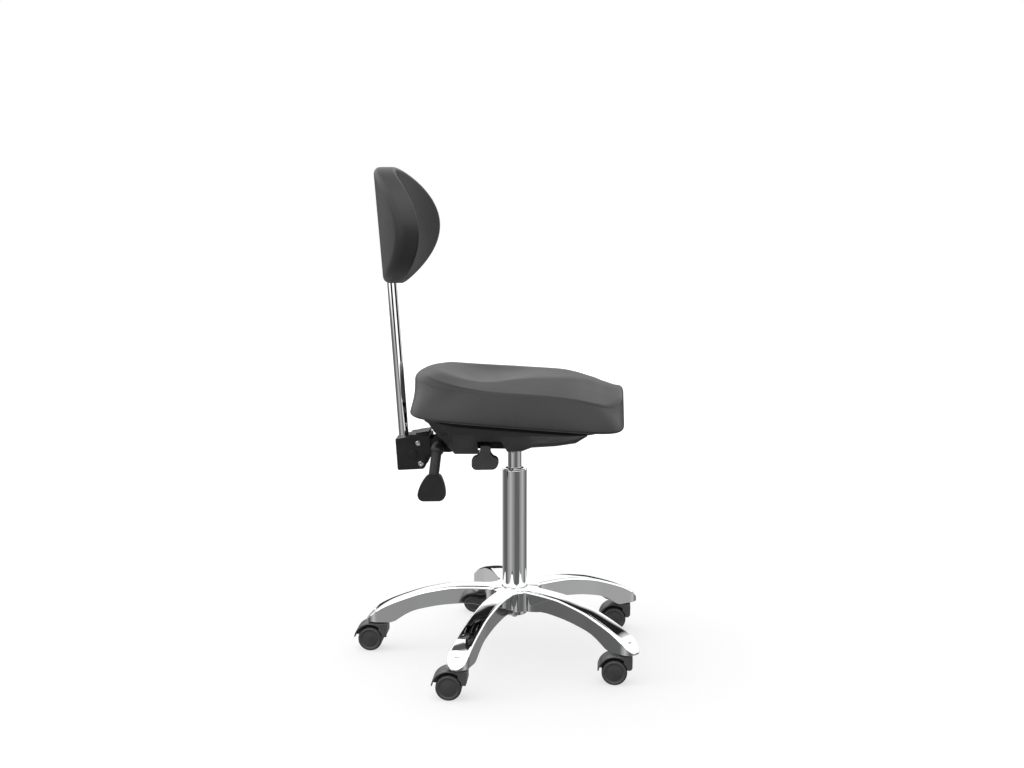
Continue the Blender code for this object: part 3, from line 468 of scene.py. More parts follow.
def makeStar():
    settings = starSettings
    rows = starRows()
    bm = bmesh.new()
    bmesh.ops.create_grid(bm, x_segments=len(rows), y_segments=settings["columns"], size=0.5)
    sector = math.pi / settings["arms"]
    for vert in bm.verts:
        row = round((vert.co.x + 0.5) * len(rows))
        across = math.sin(vert.co.y * math.pi)  # closer together near the edges
        if row == 0:
            turn = sector * across
            vert.co = (settings["boreRadius"] * math.cos(turn), settings["boreRadius"] * math.sin(turn),
                       settings["top"][0][1])
            continue
        middle, edge = rows[row - 1]
        x = middle + (edge.x - middle) * abs(across) ** settings["rowBend"]
        vert.co = (x, edge.y * across, starTop(x, across, edge.y))
    bmesh.ops.rotate(bm, verts=bm.verts, cent=(0, 0, 0),
                     matrix=Matrix.Rotation(math.radians(settings["firstAngle"]), 3, "Z"))
    bmesh.ops.spin(bm, geom=bm.verts[:] + bm.edges[:] + bm.faces[:], cent=(0, 0, 0), axis=(0, 0, 1),
                   angle=math.tau * (settings["arms"] - 1) / settings["arms"],
                   steps=settings["arms"] - 1, use_duplicate=True)
    bmesh.ops.remove_doubles(bm, verts=bm.verts, dist=0.00005)

    rim = [edge for edge in bm.edges if edge.is_boundary]
    inner = [edge for edge in rim
             if all(vert.co.xy.length < settings["boreRadius"] + 0.004 for vert in edge.verts)]
    outer = [edge for edge in rim if edge not in inner]
    for share in (0.0, 0.5, 1.0):
        grown = bmesh.ops.extrude_edge_only(bm, edges=outer)
        outer = edgesOf(grown["geom"])
        for vert in vertsOf(grown["geom"]):
            foot = readCurve(settings["foot"], armReach(vert.co)) + settings["support"] * (share < 1)
            vert.co.z = foot if share else vert.co.z - settings["support"]
    grown = bmesh.ops.extrude_edge_only(bm, edges=inner)
    for vert in vertsOf(grown["geom"]):
        vert.co.z = settings["foot"][0][1]
    bmesh.ops.recalc_face_normals(bm, faces=bm.faces)
    if sum(face.calc_area() * face.normal.z for face in bm.faces) < 0:
        bmesh.ops.reverse_faces(bm, faces=bm.faces)
    bores = [edge for edge in bm.edges if all(abs(vert.co.xy.length - settings["boreRadius"]) < 0.0002
                                              and vert.co.z > settings["boreLevel"] for vert in edge.verts)]
    roundEdges(bm, bores, settings["boreRound"])
    for step in range(settings["arms"]):
        turn = math.radians(settings["firstAngle"]) + math.tau * step / settings["arms"]
        socket = moveAll(spinProfile(settings["socket"], 48), (settings["socketReach"], 0, 0))
        bmesh.ops.transform(socket, matrix=Matrix.Rotation(turn, 4, "Z"), verts=socket.verts)
        joinInto(bm, socket)
    return moveAll(bm, column)


def castWall(piece):
    shell = piece.modifiers.new("castWall", "SOLIDIFY")
    shell.thickness = starSettings["wall"]
    shell.offset = -1.0


makePiece("starBase", makeStar(), casting, "base", ["star_base"], 50.0, [castWall],
          flatten=False)
print("base ready")


# twin-wheel castors

castorSettings = {
    "trail": 0.020,
    "wheelRadius": 0.025,
    "hoodRadius": 0.0335,
    "hoodWall": 0.0026,
    "hoodHalfWidth": 0.0214,
    "hoodTop": 0.0585,
    "front": 0.0150,
    "lipAngle": 172.0,
    "nearRadius": 0.0264,  # the front block comes close to the wheels up to stepAngle
    "stepAngle": 48.0,
    "stepSpan": 5.0,
    "blockFoot": 0.0310,
    "blockCorner": 0.0060,
    "shoulder": 0.0030,
    "edge": 0.0011,
    "web": 0.0026,
    "axleBoss": (0.0110, 0.0030),
    "collar": (0.0058, 0.0100),
    # low domed face inside a rolled rim, and a grooved tread, as (radius, distance from the middle)
    "wheel": [(0.0, 0.0168), (0.0033, 0.0168), (0.0033, 0.0036), (0.0228, 0.0036),
              (0.0240, 0.0040), (0.0248, 0.0050), (0.0250, 0.0062), (0.0250, 0.0098),
              (0.0247, 0.0101), (0.0247, 0.0107), (0.0250, 0.0110), (0.0250, 0.0160),
              (0.0249, 0.0173), (0.0245, 0.0186), (0.0238, 0.0197), (0.0228, 0.0206),
              (0.0215, 0.0212), (0.0201, 0.0213), (0.0189, 0.0208), (0.0180, 0.0201),
              (0.0168, 0.0198), (0.0150, 0.0200), (0.0120, 0.0205), (0.0080, 0.0210),
              (0.0040, 0.0213), (0.0, 0.0214)],
}


def arcOn(bm, vert, centre, degrees, steps):
    # sweeps one point round centre in the XZ plane and returns the last point
    made = bmesh.ops.spin(bm, geom=[vert], cent=(centre[0], 0, centre[1]), axis=(0, -1, 0),
                          angle=math.radians(degrees), steps=steps, use_duplicate=False)
    return vertsOf(made["geom_last"])[0]


def lineOn(bm, vert, x, z):
    made = bm.verts.new((x, 0.0, z))
    bm.edges.new((vert, made))
    return made


def makeHood():
    settings = castorSettings
    axle = (-settings["trail"], settings["wheelRadius"])
    axleX, axleZ = axle
    outer = settings["hoodRadius"]
    inner = outer - settings["hoodWall"]
    near = settings["nearRadius"]
    front, top, shoulder = settings["front"], settings["hoodTop"], settings["shoulder"]
    foot, corner = settings["blockFoot"], settings["blockCorner"]
    lip = math.radians(settings["lipAngle"])
    bm = bmesh.new()
    first = bm.verts.new((axleX + outer * math.cos(lip), 0.0, axleZ + outer * math.sin(lip)))
    last = arcOn(bm, first, axle, -(settings["lipAngle"] - 90.0), 18)
    last = lineOn(bm, last, front - shoulder, top)
    last = arcOn(bm, last, (front - shoulder, top - shoulder), -90.0, 4)
    last = lineOn(bm, last, front, foot + corner)
    last = arcOn(bm, last, (front - corner, foot + corner), -90.0, 6)
    start = math.asin((foot - axleZ) / near)
    last = lineOn(bm, last, axleX + near * math.cos(start), foot)
    last = arcOn(bm, last, axle, settings["stepAngle"] - math.degrees(start), 12)
    stepEnd = settings["stepAngle"] + settings["stepSpan"]
    turn = math.radians(stepEnd)
    last = lineOn(bm, last, axleX + inner * math.cos(turn), axleZ + inner * math.sin(turn))
    last = arcOn(bm, last, axle, settings["lipAngle"] - stepEnd, 24)
    bm.edges.new((last, first))
    bmesh.ops.remove_doubles(bm, verts=bm.verts, dist=0.00002)
    bmesh.ops.contextual_create(bm, geom=bm.edges[:])
    grown = bmesh.ops.extrude_face_region(bm, geom=bm.faces[:])
    half = settings["hoodHalfWidth"]
    bmesh.ops.translate(bm, verts=vertsOf(grown["geom"]), vec=(0, 2 * half, 0))
    bmesh.ops.translate(bm, verts=bm.verts, vec=(0, -half, 0))
    bmesh.ops.recalc_face_normals(bm, faces=bm.faces)
    softenEdges(bm, settings["edge"], 3, 40.0)
    thick = settings["web"]
    web = roundBar(inner + 0.0004, (axleX, -thick, axleZ), (axleX, thick, axleZ), 64)
    opened = bmesh.ops.bisect_plane(web, geom=web.verts[:] + web.edges[:] + web.faces[:],
                                    plane_co=(axleX, 0, axleZ + 0.002), plane_no=(0.10, 0, 1.0),
                                    clear_inner=True)
    bmesh.ops.contextual_create(web, geom=edgesOf(opened["geom_cut"]))
    joinInto(bm, web)
    radius, thick = settings["axleBoss"]
    joinInto(bm, roundBar(radius, (axleX, -thick, axleZ), (axleX, thick, axleZ), 40))
    joinInto(bm, spinRing(*settings["collar"], top - 0.0005, top + 0.0010))
    return bm


def spinRing(inner, outer, low, high):
    bm = spinProfile([(inner, low), (outer, low), (outer, high), (inner, high)], 64)
    softenEdges(bm, 0.0003, 2, 60.0)
    return bm


for number in range(1, 6):
    stem = middleOf(f"castor_stem_{number}")
    hood = moveAll(makeHood(), (stem.x, stem.y, 0.0))
    makePiece(f"castorHood{number}", hood, hoodPlastic, f"castor_{number}",
              [f"castor_hood_{number}"])
    for side, mirror in (("left", 1), ("right", -1)):
        wheel = spinProfile(castorSettings["wheel"], 72, closed=False)
        moveAll(wheel, (stem.x - castorSettings["trail"], stem.y, castorSettings["wheelRadius"]),
                Matrix.Rotation(math.radians(-90 * mirror), 4, "X"))
        makePiece(f"castorWheel{number}{side.capitalize()}", wheel, wheelPlastic,
                  f"wheel_{number}_{side}", [f"castor_wheel_{number}_{side}"])
print("castors ready")


# gas lift column

columnSettings = {
    "steps": 128,
    "lip": 0.0030,
    "wall": 0.0015,
    "mouth": 0.0186,
    "topThick": 0.0022,
    "footHole": 0.0066,
    "bushBore": 0.0143,
    "bushRim": 0.0182,
    "bushDepth": 0.060,
    "lugs": 6,
    "lugSize": (0.0034, 0.0042, 0.0016),
    "lugReach": 0.0166,
    "lugTurn": 0.3,
}
cylinderSettings = {"bore": 0.0038, "wall": 0.0025, "edge": 0.0040, "taper": 0.0022, "taperLength": 0.040,
                    "footHole": 0.0053, "footDepth": 0.014, "headDepth": 0.018, "boreDepth": 0.012}


def makeColumn():
    settings = columnSettings
    low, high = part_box("column_tube")
    outer = (high.x - low.x) / 2
    inner = outer - settings["wall"]
    top, foot = high.z, low.z
    lip, mouth, hole = settings["lip"], settings["mouth"], settings["footHole"]
    turns = [math.radians(15 * step) for step in (5, 4, 3, 2, 1, 0)]
    rolled = [(outer - lip + lip * math.cos(turn), top - lip + lip * math.sin(turn)) for turn in turns]
    tube = spinProfile([(mouth, top - 0.0003), (mouth + 0.0003, top), (outer - lip, top), *rolled,
                        (outer, foot + 0.001), (outer - 0.001, foot), (hole, foot), (hole, foot + 0.002),
                        (inner, foot + 0.002), (inner, top - settings["topThick"]),
                        (mouth, top - settings["topThick"])], settings["steps"])
    makePiece("columnTube", moveAll(tube, column), tubeChrome, "base", ["column_tube"])

    bore, rim, depth = settings["bushBore"], settings["bushRim"], settings["bushDepth"]
    bush = spinProfile([(bore, top - depth), (inner - 0.0004, top - depth), (inner - 0.0004, top - 0.0026),
                        (rim, top - 0.0026), (rim, top - 0.0004), (rim - 0.0008, top + 0.0003),
                        (bore + 0.0009, top + 0.0003), (bore, top - 0.0006)], 96)
    for step in range(settings["lugs"]):  # little lugs that stand in the bush's slots
        turn = math.tau * step / settings["lugs"] + settings["lugTurn"]
        lug = bmesh.new()
        bmesh.ops.create_cube(lug, size=1.0)
        bmesh.ops.scale(lug, verts=lug.verts, vec=settings["lugSize"])
        softenEdges(lug, 0.0004, 2)
        moveAll(lug, (settings["lugReach"], 0, top - 0.0002))
        bmesh.ops.transform(lug, matrix=Matrix.Rotation(turn, 4, "Z"), verts=lug.verts)
        joinInto(bush, lug)
    makePiece("columnBush", moveAll(bush, column), bushPlastic, "base", ["column_bush"])


def makeCylinder():
    settings = cylinderSettings
    low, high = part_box("gas_cylinder")
    radius = (high.x - low.x) / 2
    inner = radius - settings["wall"]
    top, foot = high.z, low.z
    bore, hole = settings["bore"], settings["footHole"]
    body = spinProfile([(bore, top - settings["boreDepth"]), (bore, top - 0.0002), (bore + 0.0006, top),
                        (radius - settings["edge"], top), (radius - 0.0029, top - 0.0006),
                        (radius - settings["taper"], top - 0.002), (radius, top - settings["taperLength"]),
                        (radius, foot + 0.0020), (radius - 0.0020, foot), (hole, foot),
                        (hole, foot + settings["footDepth"]), (inner, foot + settings["footDepth"]),
                        (inner, top - settings["headDepth"]), (0.0, top - settings["headDepth"]),
                        (0.0, top - settings["boreDepth"])], 96, closed=False)
    makePiece("gasCylinder", moveAll(body, column), cylinderChrome, "seat", ["gas_cylinder"])


makeColumn()
makeCylinder()
print("column ready")


# seat: squared foot and oval top, a dish at the rear between two crests that close into a front ridge

seatSettings = {
    "rear": -0.1970, "front": 0.2200, "halfWidth": 0.2000,
    "topHalfLength": 0.2088, "topHalfWidth": 0.1820, "topFront": 0.2185,
    "footPowers": (6.0, 7.0),
    "topPowers": (2.3, 3.5),
    "sideRound": 0.0044,
    "rearRound": 0.0200,
    "frontRound": 0.0090,
    "wallLean": 0.05,
    "footRound": 0.0060,
    "lip": 0.0050,  # overhang round the board
    "soft": 0.0040,
    "softLift": 0.25,
    "crestPower": 1.9,
    "pastCrest": 1.4,
    "crestLimit": 0.8,  # share of the half width
    "wallRings": 9,
    "wallFlat": 0.45,
    "footRings": 6,
    "footReach": 0.018,
    "grid": (120, 110),
    "slope": math.tan(math.radians(3.6)),
    "foot": 0.5117,
    "crestSpread": [(-0.1855, 0.020), (-0.170, 0.038), (-0.160, 0.050), (-0.140, 0.072), (-0.120, 0.087),
                    (-0.101, 0.099), (-0.064, 0.112), (-0.036, 0.110), (-0.009, 0.096), (0.018, 0.078),
                    (0.053, 0.063), (0.092, 0.054), (0.110, 0.045), (0.127, 0.034), (0.145, 0.022),
                    (0.170, 0.014), (0.2185, 0.010)],
    "crestHeight": [(-0.1855, 0.5895), (-0.160, 0.5936), (-0.140, 0.5938), (-0.120, 0.5909),
                    (-0.101, 0.5877), (-0.064, 0.5838), (-0.036, 0.5828), (-0.009, 0.5837),
                    (0.018, 0.5849), (0.053, 0.5854), (0.092, 0.5844), (0.110, 0.5828), (0.127, 0.5804),
                    (0.145, 0.5766), (0.160, 0.5730), (0.174, 0.5678), (0.189, 0.5632), (0.203, 0.5585),
                    (0.2185, 0.5530)],
    "middleHeight": [(-0.1855, 0.5900), (-0.165, 0.5950), (-0.145, 0.5945), (-0.120, 0.5880),
                     (-0.100, 0.5800), (-0.070, 0.5725), (-0.040, 0.5700), (-0.010, 0.5735),
                     (0.020, 0.5790), (0.053, 0.5825), (0.092, 0.5825), (0.110, 0.5815), (0.127, 0.5795),
                     (0.145, 0.5760), (0.160, 0.5728), (0.174, 0.5678), (0.189, 0.5632), (0.203, 0.5585),
                     (0.2185, 0.5530)],
    "creaseHeight": [(-0.1855, 0.5880), (-0.169, 0.5858), (-0.143, 0.5816), (-0.092, 0.5762),
                     (-0.040, 0.5716), (0.011, 0.5692), (0.059, 0.5663), (0.100, 0.5622),
                     (0.1345, 0.5562), (0.165, 0.5481), (0.189, 0.5415), (0.203, 0.5420),
                     (0.2185, 0.5500)],
}


def ovalReach(turn, halfLength, halfWidth, powers):
    # radius of a squared oval with one power behind and one in front
    power = powers[0] if math.cos(turn) < 0 else powers[1]
    total = abs(math.cos(turn) / halfLength) ** power + abs(math.sin(turn) / halfWidth) ** power
    return total ** (-1 / power)


def seatHeight(x, y):
    settings = seatSettings
    middleX = settings["topFront"] - settings["topHalfLength"]
    along = min(0.999, abs(x - middleX) / settings["topHalfLength"])
    power = settings["topPowers"][0 if x < middleX else 1]
    half = settings["topHalfWidth"] * (1 - along ** power) ** (1 / power)
    spread = min(readCurve(settings["crestSpread"], x), settings["crestLimit"] * half)
    crest = readCurve(settings["crestHeight"], x)
    middle = readCurve(settings["middleHeight"], x)
    crease = readCurve(settings["creaseHeight"], x)
    across = abs(y)
    inside = middle + (crest - middle) * min(across / spread, settings["pastCrest"]) ** settings["crestPower"]
    outside = crest - (crest - crease) * (across - spread) / (half - spread)
    return softMin(inside, outside, settings["soft"]) + settings["softLift"] * settings["soft"]


def makeSeat():
    settings = seatSettings
    bm = bmesh.new()
    bmesh.ops.create_grid(bm, x_segments=settings["grid"][0], y_segments=settings["grid"][1], size=0.5)
    topX = settings["topFront"] - settings["topHalfLength"]
    footX = (settings["rear"] + settings["front"]) / 2
    footLength = (settings["front"] - settings["rear"]) / 2
    for vert in bm.verts:
        discU, discV = onDisc(vert)
        share = min(1.0, math.hypot(discU, discV))
        turn = math.atan2(discV, discU)
        reach = ovalReach(turn, settings["topHalfLength"], settings["topHalfWidth"], settings["topPowers"])
        x = topX + share * reach * math.cos(turn)
        y = share * reach * math.sin(turn)
        toRear = max(0.0, -math.cos(turn)) ** 1.5
        toFront = max(0.0, math.cos(turn)) ** 3
        rounding = (settings["sideRound"] + (settings["rearRound"] - settings["sideRound"]) * toRear
                    + (settings["frontRound"] - settings["sideRound"]) * toFront)
        depth = (1 - share) * reach * 0.95 + settings["wallLean"] * rounding
        vert.co = (x, y, seatHeight(x, y) - roundDrop(depth, rounding))
    rim = [edge for edge in bm.edges if edge.is_boundary]
    starts = {}
    for edge in rim:
        for vert in edge.verts:
            starts[vert] = (math.atan2(vert.co.y, vert.co.x - topX), vert.co.copy())

    def growRing(edges, share, heightOf):
        # next ring down the wall, a share of the way from the top outline to the foot outline
        below = {}
        for vert in {vert for edge in edges for vert in edge.verts}:
            turn, start = starts[vert]
            reach = ovalReach(turn, footLength, settings["halfWidth"], settings["footPowers"])
            foot = Vector((footX + reach * math.cos(turn), reach * math.sin(turn)))
            spot = start.xy.lerp(foot, share)
            below[vert] = (spot.x, spot.y, heightOf(spot.x, start.z))
        grown = bmesh.ops.extrude_edge_only(bm, edges=edges)
        fresh = edgesOf(grown["geom"])
        for vert in {vert for edge in fresh for vert in edge.verts}:
            old = [edge.other_vert(vert) for edge in vert.link_edges if edge.other_vert(vert) in below]
            vert.co = below[old[0]]
            starts[vert] = starts[old[0]]
        return fresh

    def footLevel(x):
        return settings["foot"] - settings["lip"] - settings["slope"] * x

    for step in range(1, settings["wallRings"] + 1):
        share = step / settings["wallRings"]
        spread = settings["wallFlat"] * share + (1 - settings["wallFlat"]) * math.sin(math.pi / 2 * share)

        def wallHeight(x, z, share=share):
            return z + (footLevel(x) + settings["footRound"] - z) * share
        rim = growRing(rim, spread, wallHeight)
    for step in range(1, settings["footRings"] + 1):
        turn = math.pi / 2 * step / settings["footRings"]
        tuck = settings["footRound"] * (1 - math.cos(turn)) / settings["footReach"]

        def footHeight(x, z, turn=turn):
            return footLevel(x) + settings["footRound"] * (1 - math.sin(turn))
        rim = growRing(rim, 1 - tuck, footHeight)
    bmesh.ops.contextual_create(bm, geom=rim)
    return moveAll(bm, column)


seatPiece = makePiece("seatCushion", makeSeat(), skin, "seat", ["seat_cushion"], 60.0)
print("seat ready")


# oval back pad, bowed forward at its wings

padSettings = {
    "lean": math.radians(4.4),
    "centreX": -0.2475,
    "centreZ": 0.8780,
    "halfWidth": 0.1708,
    "halfHeight": 0.1149,
    "thickness": 0.043,
    "wing": 0.061,
    "frontRound": 0.0075,
    "rearRound": 0.0120,
    "frontDish": 0.0030,
    "grid": (72, 56),
    "bandCuts": 5,
}


def padPlace(across, up, depth):
    settings = padSettings
    bow = settings["wing"] * (across / settings["halfWidth"]) ** 2
    x = settings["centreX"] - up * math.sin(settings["lean"]) + bow + depth
    return column + Vector((x, across, settings["centreZ"] + up * math.cos(settings["lean"])))


def padFace(bm, side, rounding):
    settings = padSettings
    columns, rows = settings["grid"]
    made = bmesh.ops.create_grid(bm, x_segments=columns, y_segments=rows, size=0.5)["verts"]
    wide, high = settings["halfWidth"], settings["halfHeight"]
    for vert in made:
        discU, discV = onDisc(vert)
        reach = math.hypot(discU, discV)
        turn = math.atan2(discV, discU)
        local = wide * high / math.hypot(high * math.cos(turn), wide * math.sin(turn))
        drop = roundDrop((1 - reach) * local, rounding)
        depth = settings["thickness"] / 2 - drop
        if side > 0:
            depth -= settings["frontDish"] * math.cos(min(reach, 1.0) * math.pi / 2) ** 2
        vert.co = padPlace(discU * wide, discV * high, side * depth)


def makePad():
    settings = padSettings
    bm = bmesh.new()
    padFace(bm, 1, settings["frontRound"])
    padFace(bm, -1, settings["rearRound"])
    rim = [edge for edge in bm.edges if edge.is_boundary]
    bridged = bmesh.ops.bridge_loops(bm, edges=rim)
    bmesh.ops.subdivide_edges(bm, edges=bridged["edges"], cuts=settings["bandCuts"], use_grid_fill=True)
    bmesh.ops.recalc_face_normals(bm, faces=bm.faces)
    return bm


padPiece = makePiece("backPad", makePad(), skin, "backrest", ["back_pad"], 60.0)
print("back pad ready")


# back tube

tubeSettings = {"lean": math.radians(3.8), "radius": 0.010, "wall": 0.0017, "edge": 0.0012, "bevel": 0.0003}


def makeBackTube():
    settings = tubeSettings
    low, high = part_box("back_tube")
    radius, edge, bevel = settings["radius"], settings["edge"], settings["bevel"]
    inner = radius - settings["wall"]
    end = (high.z - low.z) / math.cos(settings["lean"]) / 2 - radius * math.tan(settings["lean"])
    tube = spinProfile([(radius - edge, end), (radius - bevel, end - bevel), (radius, end - edge),
                        (radius, edge - end), (radius - bevel, bevel - end), (radius - edge, -end),
                        (inner, -end), (inner, end)], 96)
    moveAll(tube, middleOf("back_tube"), Matrix.Rotation(-settings["lean"], 4, "Y"))
    makePiece("backTube", tube, backChrome, "backrest", ["back_tube"])


makeBackTube()


# seat board and the moulded cover under it

boardSettings = {"rear": -0.160, "front": 0.180, "halfWidth": 0.182, "corner": 0.085, "thick": 0.0150,
                 "gap": 0.0003, "rounding": 0.0070}


def makeBoard():
    settings = boardSettings
    bm = bmesh.new()
    corners = [(settings["front"], -settings["halfWidth"]), (settings["front"], settings["halfWidth"]),
               (settings["rear"], settings["halfWidth"]), (settings["rear"], -settings["halfWidth"])]
    verts = [bm.verts.new((x, y, 0.0)) for x, y in corners]
    bm.faces.new(verts)
    roundCorners(bm, verts, settings["corner"], 16)
    grown = bmesh.ops.extrude_face_region(bm, geom=bm.faces[:])
    bmesh.ops.translate(bm, verts=vertsOf(grown["geom"]), vec=(0, 0, -settings["thick"]))
    bmesh.ops.recalc_face_normals(bm, faces=bm.faces)
    lowRim = [edge for edge in bm.edges if all(vert.co.z < -settings["thick"] / 2 for vert in edge.verts)]
    roundEdges(bm, lowRim, settings["rounding"], 5)
    for vert in bm.verts:
        vert.co.z += seatSettings["foot"] - seatSettings["slope"] * vert.co.x - settings["gap"]
    return moveAll(bm, column)


makePiece("seatBoard", makeBoard(), ply, "seat", ["seat_board"])
refinedCopy("mechanismCover", "mechanism_cover", coverPlastic, "seat", 0.0020, 3, 18.0)
for name, node, material, body, slotName in (
        ("mechanismHousing", "mechanism_housing", coat, "seat", "black_sheet_metal"),
        ("mechanismPlate", "mechanism_plate", coat, "seat", "black_sheet_metal"),
        ("backArm", "back_arm", coat, "back_carrier", "black_sheet_metal"),
        ("backBracket", "back_bracket", coat, "back_carrier", "black_sheet_metal"),
        ("tubeGuide", "tube_guide", bushPlastic, "back_carrier", "bush_plastic")):
    refinedCopy(name, node, material, body, 0.0006, 2)


# levers: a flat paddle under the seat's middle, and a spade on a bent round arm behind it

leverSettings = {
    "edge": 0.0022,
    "liftOutline": [(-0.0785, 0.4040, 0.010), (-0.0262, 0.4055, 0.012), (-0.0255, 0.4285, 0.007),
                    (-0.0412, 0.4335, 0.008), (-0.0425, 0.4525, 0.002), (-0.0615, 0.4525, 0.002),
                    (-0.0628, 0.4340, 0.008), (-0.0785, 0.4290, 0.007)],
    "liftFaces": (-0.0920, -0.0780),
    "liftBend": 0.450,  # the blade slants outward below this height
    "liftSlant": 0.20,
    "liftNeck": (0.0072, (-0.052, -0.0630, 0.4530), (-0.052, -0.0850, 0.4472)),
    "tiltOutline": [(-0.1865, 0.3370, 0.012), (-0.1325, 0.3385, 0.012), (-0.1295, 0.3690, 0.022),
                    (-0.1430, 0.3940, 0.012), (-0.1655, 0.3940, 0.012), (-0.1875, 0.3640, 0.022)],
    "tiltFaces": (-0.0925, -0.0785),
    "tiltAxis": (-0.149, 0.4385),
    "armRadius": 0.0102,
    "bossRadius": 0.0133,
}


def makeLiftPaddle():
    settings = leverSettings
    blade = cutPlate(settings["liftOutline"], *settings["liftFaces"], 8)
    softenEdges(blade, settings["edge"], 4, 40.0)
    bend = settings["liftBend"]
    bmesh.ops.bisect_plane(blade, geom=blade.verts[:] + blade.edges[:] + blade.faces[:],
                           plane_co=(0, 0, bend), plane_no=(0, 0, 1))
    for vert in blade.verts:
        vert.co.y -= max(0.0, bend - vert.co.z) * settings["liftSlant"]
    joinInto(blade, roundBar(*settings["liftNeck"], 40))
    return moveAll(blade, column)


def makeTiltPaddle():
    settings = leverSettings
    spade = cutPlate(settings["tiltOutline"], *settings["tiltFaces"], 10)
    softenEdges(spade, settings["edge"], 4, 40.0)
    x, z = settings["tiltAxis"]
    arm, bossRadius = settings["armRadius"], settings["bossRadius"]
    elbow = bmesh.new()
    bmesh.ops.create_uvsphere(elbow, u_segments=40, v_segments=24, radius=bossRadius - 0.0008)
    joinInto(spade, moveAll(elbow, (x, -0.0745, z)))
    boss = roundBar(bossRadius, (x, -0.0370, z), (x, -0.0740, z), 56)
    softenEdges(boss, 0.0012, 3, 60.0)
    joinInto(spade, boss)
    joinInto(spade, roundBar(arm, (x - 0.0005, -0.0762, z), (x - 0.0056, -0.0856, 0.3915), 48))
    collar = bmesh.new()
    bmesh.ops.create_uvsphere(collar, u_segments=36, v_segments=20, radius=arm)
    bmesh.ops.scale(collar, verts=collar.verts, vec=(1.0, 0.70, 1.4))
    joinInto(spade, moveAll(collar, (x - 0.0058, -0.0856, 0.3900)))
    return moveAll(spade, column)


makePiece("liftLeverPaddle", makeLiftPaddle(), leverPlastic, "lift_lever", ["lift_lever_paddle"],
          50.0)
makePiece("tiltLeverPaddle", makeTiltPaddle(), leverPlastic, "tilt_lever", ["tilt_lever_paddle"],
          50.0)


# pressed details of the bracket: a raised dome each side and the folded plates on top

bracketSettings = {
    "face": 0.0300,
    "dome": (-0.2040, 0.4190),
    "domeRadius": 0.0095,
    "domeHeight": 0.0020,
    "leafRear": (-0.2120, 0.4585),
    "leafFront": (-0.1720, 0.4628),
    "leafThick": 0.0022,
    "leaves": [(0.0290, 0.0), (0.0225, 0.0035)],  # half width and rise of each
}


def makeBracketDetails():
    settings = bracketSettings
    details = bmesh.new()
    x, z = settings["dome"]
    for side in (-1, 1):
        face = side * settings["face"]
        edges = sorted((face - side * 0.0010, face + side * settings["domeHeight"]))
        dome = roundBar(settings["domeRadius"], (x, edges[0], z), (x, edges[1], z), 48)
        softenEdges(dome, 0.0010, 3, 50.0)
        joinInto(details, dome)
    rearX, rearZ = settings["leafRear"]
    frontX, frontZ = settings["leafFront"]
    for half, rise in settings["leaves"]:
        start = rearX + 4 * rise
        under = rise - settings["leafThick"]
        leaf = cutPlate([(start, rearZ + rise, 0.0004), (frontX, frontZ + rise, 0.0004),
                         (frontX, frontZ + under, 0.0004), (start, rearZ + under, 0.0004)], -half, half, 2)
        joinInto(details, leaf)
    return moveAll(details, column)


makePiece("bracketPressings", makeBracketDetails(), coat, "back_carrier", ())

plainFinishes = {
    "lift_lever_arm": darkSteel, "tilt_lock_shaft": darkSteel, "piston_rod": darkSteel,
    "thrust_bearing": darkSteel, "pad_plate": darkSteel, "rod_clip": zincSteel, "gas_button": zincSteel,
    "back_pivot_pin": zincSteel, "bracket_bolt_upper": zincSteel, "bracket_bolt_lower": zincSteel,
    "bracket_nut_upper": zincSteel, "bracket_nut_lower": zincSteel, "bump_stop": rubberBlack,
}
for number in range(1, 6):
    plainFinishes[f"castor_stem_{number}"] = darkSteel
    plainFinishes[f"castor_axle_{number}"] = darkSteel
for number in range(1, 5):
    plainFinishes[f"seat_screw_{number}"] = zincSteel
for node, material in plainFinishes.items():
    cadNodes[node].data.materials.clear()
    cadNodes[node].data.materials.append(material)
print("mechanism ready")


# floor, lights and camera

floorSettings = {"radius": 9.0, "glow": 0.63, "edgeGlow": 1.0, "glowStart": 0.5, "glowEnd": 3.0}


def makeStage():
    # white paper that glows a little, so that it stays white out to its edge
    bm = bmesh.new()
    bmesh.ops.create_circle(bm, cap_ends=True, segments=96, radius=floorSettings["radius"])
    mesh = bpy.data.meshes.new("floor")
    bm.to_mesh(mesh)
    bm.free()
    floor = bpy.data.objects.new("floor", mesh)
    bpy.context.scene.collection.objects.link(floor)
    paper = startMaterial("whitePaper", (0.30, 0.30, 0.30), 0.9, 0.0, Emission_Color=(1.0, 1.0, 1.0, 1.0))
    addBump(paper, addNoise(paper, 300.0, 3.0), 0.0002, 0.1)
    tree = paper.node_tree
    reach = tree.nodes.new("ShaderNodeVectorMath")
    reach.operation = "LENGTH"
    tree.links.new(tree.nodes["place"].outputs["Object"], reach.inputs[0])
    glow = addRange(paper, reach.outputs["Value"], floorSettings["glow"], floorSettings["edgeGlow"],
                    floorSettings["glowStart"], floorSettings["glowEnd"])
    tree.links.new(glow, tree.nodes["Principled BSDF"].inputs["Emission Strength"])
    mesh.materials.append(paper)
    floor.visible_glossy = False
    floor.visible_diffuse = False


def addArea(name, place, target, width, height, power):
    light = bpy.data.lights.new(name, "AREA")
    light.shape = "RECTANGLE"
    light.size = width
    light.size_y = height
    light.energy = power
    lamp = bpy.data.objects.new(name, light)
    bpy.context.scene.collection.objects.link(lamp)
    lamp.location = place
    lamp.rotation_euler = (Vector(target) - Vector(place)).to_track_quat("-Z", "Y").to_euler()
    lamp.visible_camera = False
    lamp.visible_glossy = False


